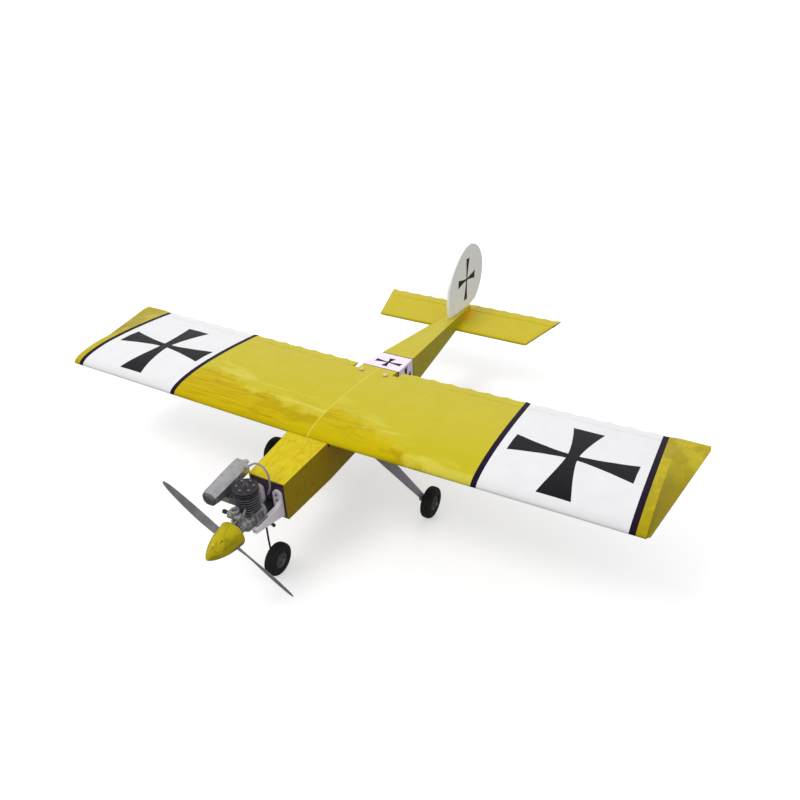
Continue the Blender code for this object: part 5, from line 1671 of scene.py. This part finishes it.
wing_bolt("wing_bolt_left", 1)
wing_bolt("wing_bolt_right", -1)

# ================================================================ CAD pieces that stay as they are
# The belly wears the side's darker copy of the yellow film, which is painted shade.
KEPT = {"fuselage_belly": SHADED_YELLOW_SIDE, "firewall": DARK_PLY, "front_former": PLY,
        "wing_bolt_plate": PLY, "wing_dowel_left": PLY, "wing_dowel_right": PLY,
        "wing_joiner": PLY, "fuel_tank": TANK, "elevator_servo": SERVO, "rudder_servo": SERVO,
        "elevator_horn": NYLON, "rudder_horn": NYLON, "elevator_pushrod": STEEL,
        "rudder_pushrod": STEEL, "nose_gear_bracket": BLACK_NYLON, "crankshaft": STEEL,
        "prop_nut": STEEL}
for node_name, look in KEPT.items():
    node = frame["nodes"][node_name]
    node.data.materials.clear()
    node.data.materials.append(look)


# ================================================================ floor and light
def floor():
    """Pale ground that lifts itself to near white and throws no light back on the plane."""
    bm = bmesh.new()
    bmesh.ops.create_circle(bm, cap_ends=True, segments=64, radius=60.0)
    mesh = bpy.data.meshes.new("floor")
    bm.to_mesh(mesh)
    bm.free()
    look = Look("pale_floor", (0.66, 0.66, 0.66), 0.9)
    look.tint(look.spread(look.noise((0.8, 0.8, 0.8), 3.0), 0.3, 0.7, 0.0, 0.3), (0.63, 0.63, 0.63))
    set_inputs(look.shader, {"Emission Color": (1.0, 1.0, 1.0, 1.0), "Emission Strength": 0.45})
    mesh.materials.append(look.material)
    obj = bpy.data.objects.new("floor", mesh)
    bpy.context.scene.collection.objects.link(obj)
    obj.visible_diffuse = False
    obj.visible_glossy = False


LIGHT_SIZE = 2.2
LIGHT_AIM = Vector((0, 0, 0.1))


def area_light(name, place, power, colour):
    data = bpy.data.lights.new(name, "AREA")
    data.shape = "DISK"
    data.size = LIGHT_SIZE
    data.energy = power
    data.color = colour
    light = bpy.data.objects.new(name, data)
    bpy.context.scene.collection.objects.link(light)
    light.location = place
    light.rotation_euler = (LIGHT_AIM - Vector(place)).to_track_quat("-Z", "Y").to_euler()
    light.visible_glossy = False


def sky():
    """Studio surround: white overhead, a little less in front, warm and dim below."""
    world = bpy.data.worlds.new("surround")
    world.use_nodes = True
    nodes, links = world.node_tree.nodes, world.node_tree.links
    coordinates = nodes.new("ShaderNodeTexCoord")
    split = nodes.new("ShaderNodeSeparateXYZ")
    links.new(coordinates.outputs["Generated"], split.inputs["Vector"])
    ramp = nodes.new("ShaderNodeValToRGB")
    rescale = nodes.new("ShaderNodeMapRange")
    rescale.inputs["From Min"].default_value = -1.0
    links.new(split.outputs["Z"], rescale.inputs["Value"])
    links.new(rescale.outputs["Result"], ramp.inputs["Fac"])
    stops = ramp.color_ramp.elements
    stops[0].position, stops[0].color = 0.0, (0.30, 0.29, 0.27, 1)
    stops[1].position, stops[1].color = 1.0, (1.05, 1.05, 1.08, 1)
    for place, colour in ((0.44, (0.34, 0.32, 0.30, 1)), (0.52, (0.70, 0.70, 0.71, 1)),
                          (0.68, (0.92, 0.92, 0.93, 1))):
        stop = stops.new(place)
        stop.color = colour
    background = nodes["Background"]
    links.new(ramp.outputs["Color"], background.inputs["Color"])
    background.inputs["Strength"].default_value = 0.86
    bpy.context.scene.world = world


floor()
sky()
area_light("key", (-1.6, -2.4, 4.6), 86.0, (1.0, 0.99, 0.97))
area_light("back", (-0.6, 3.2, 2.4), 30.0, (0.97, 0.98, 1.0))
bpy.context.scene.view_settings.view_transform = "Standard"
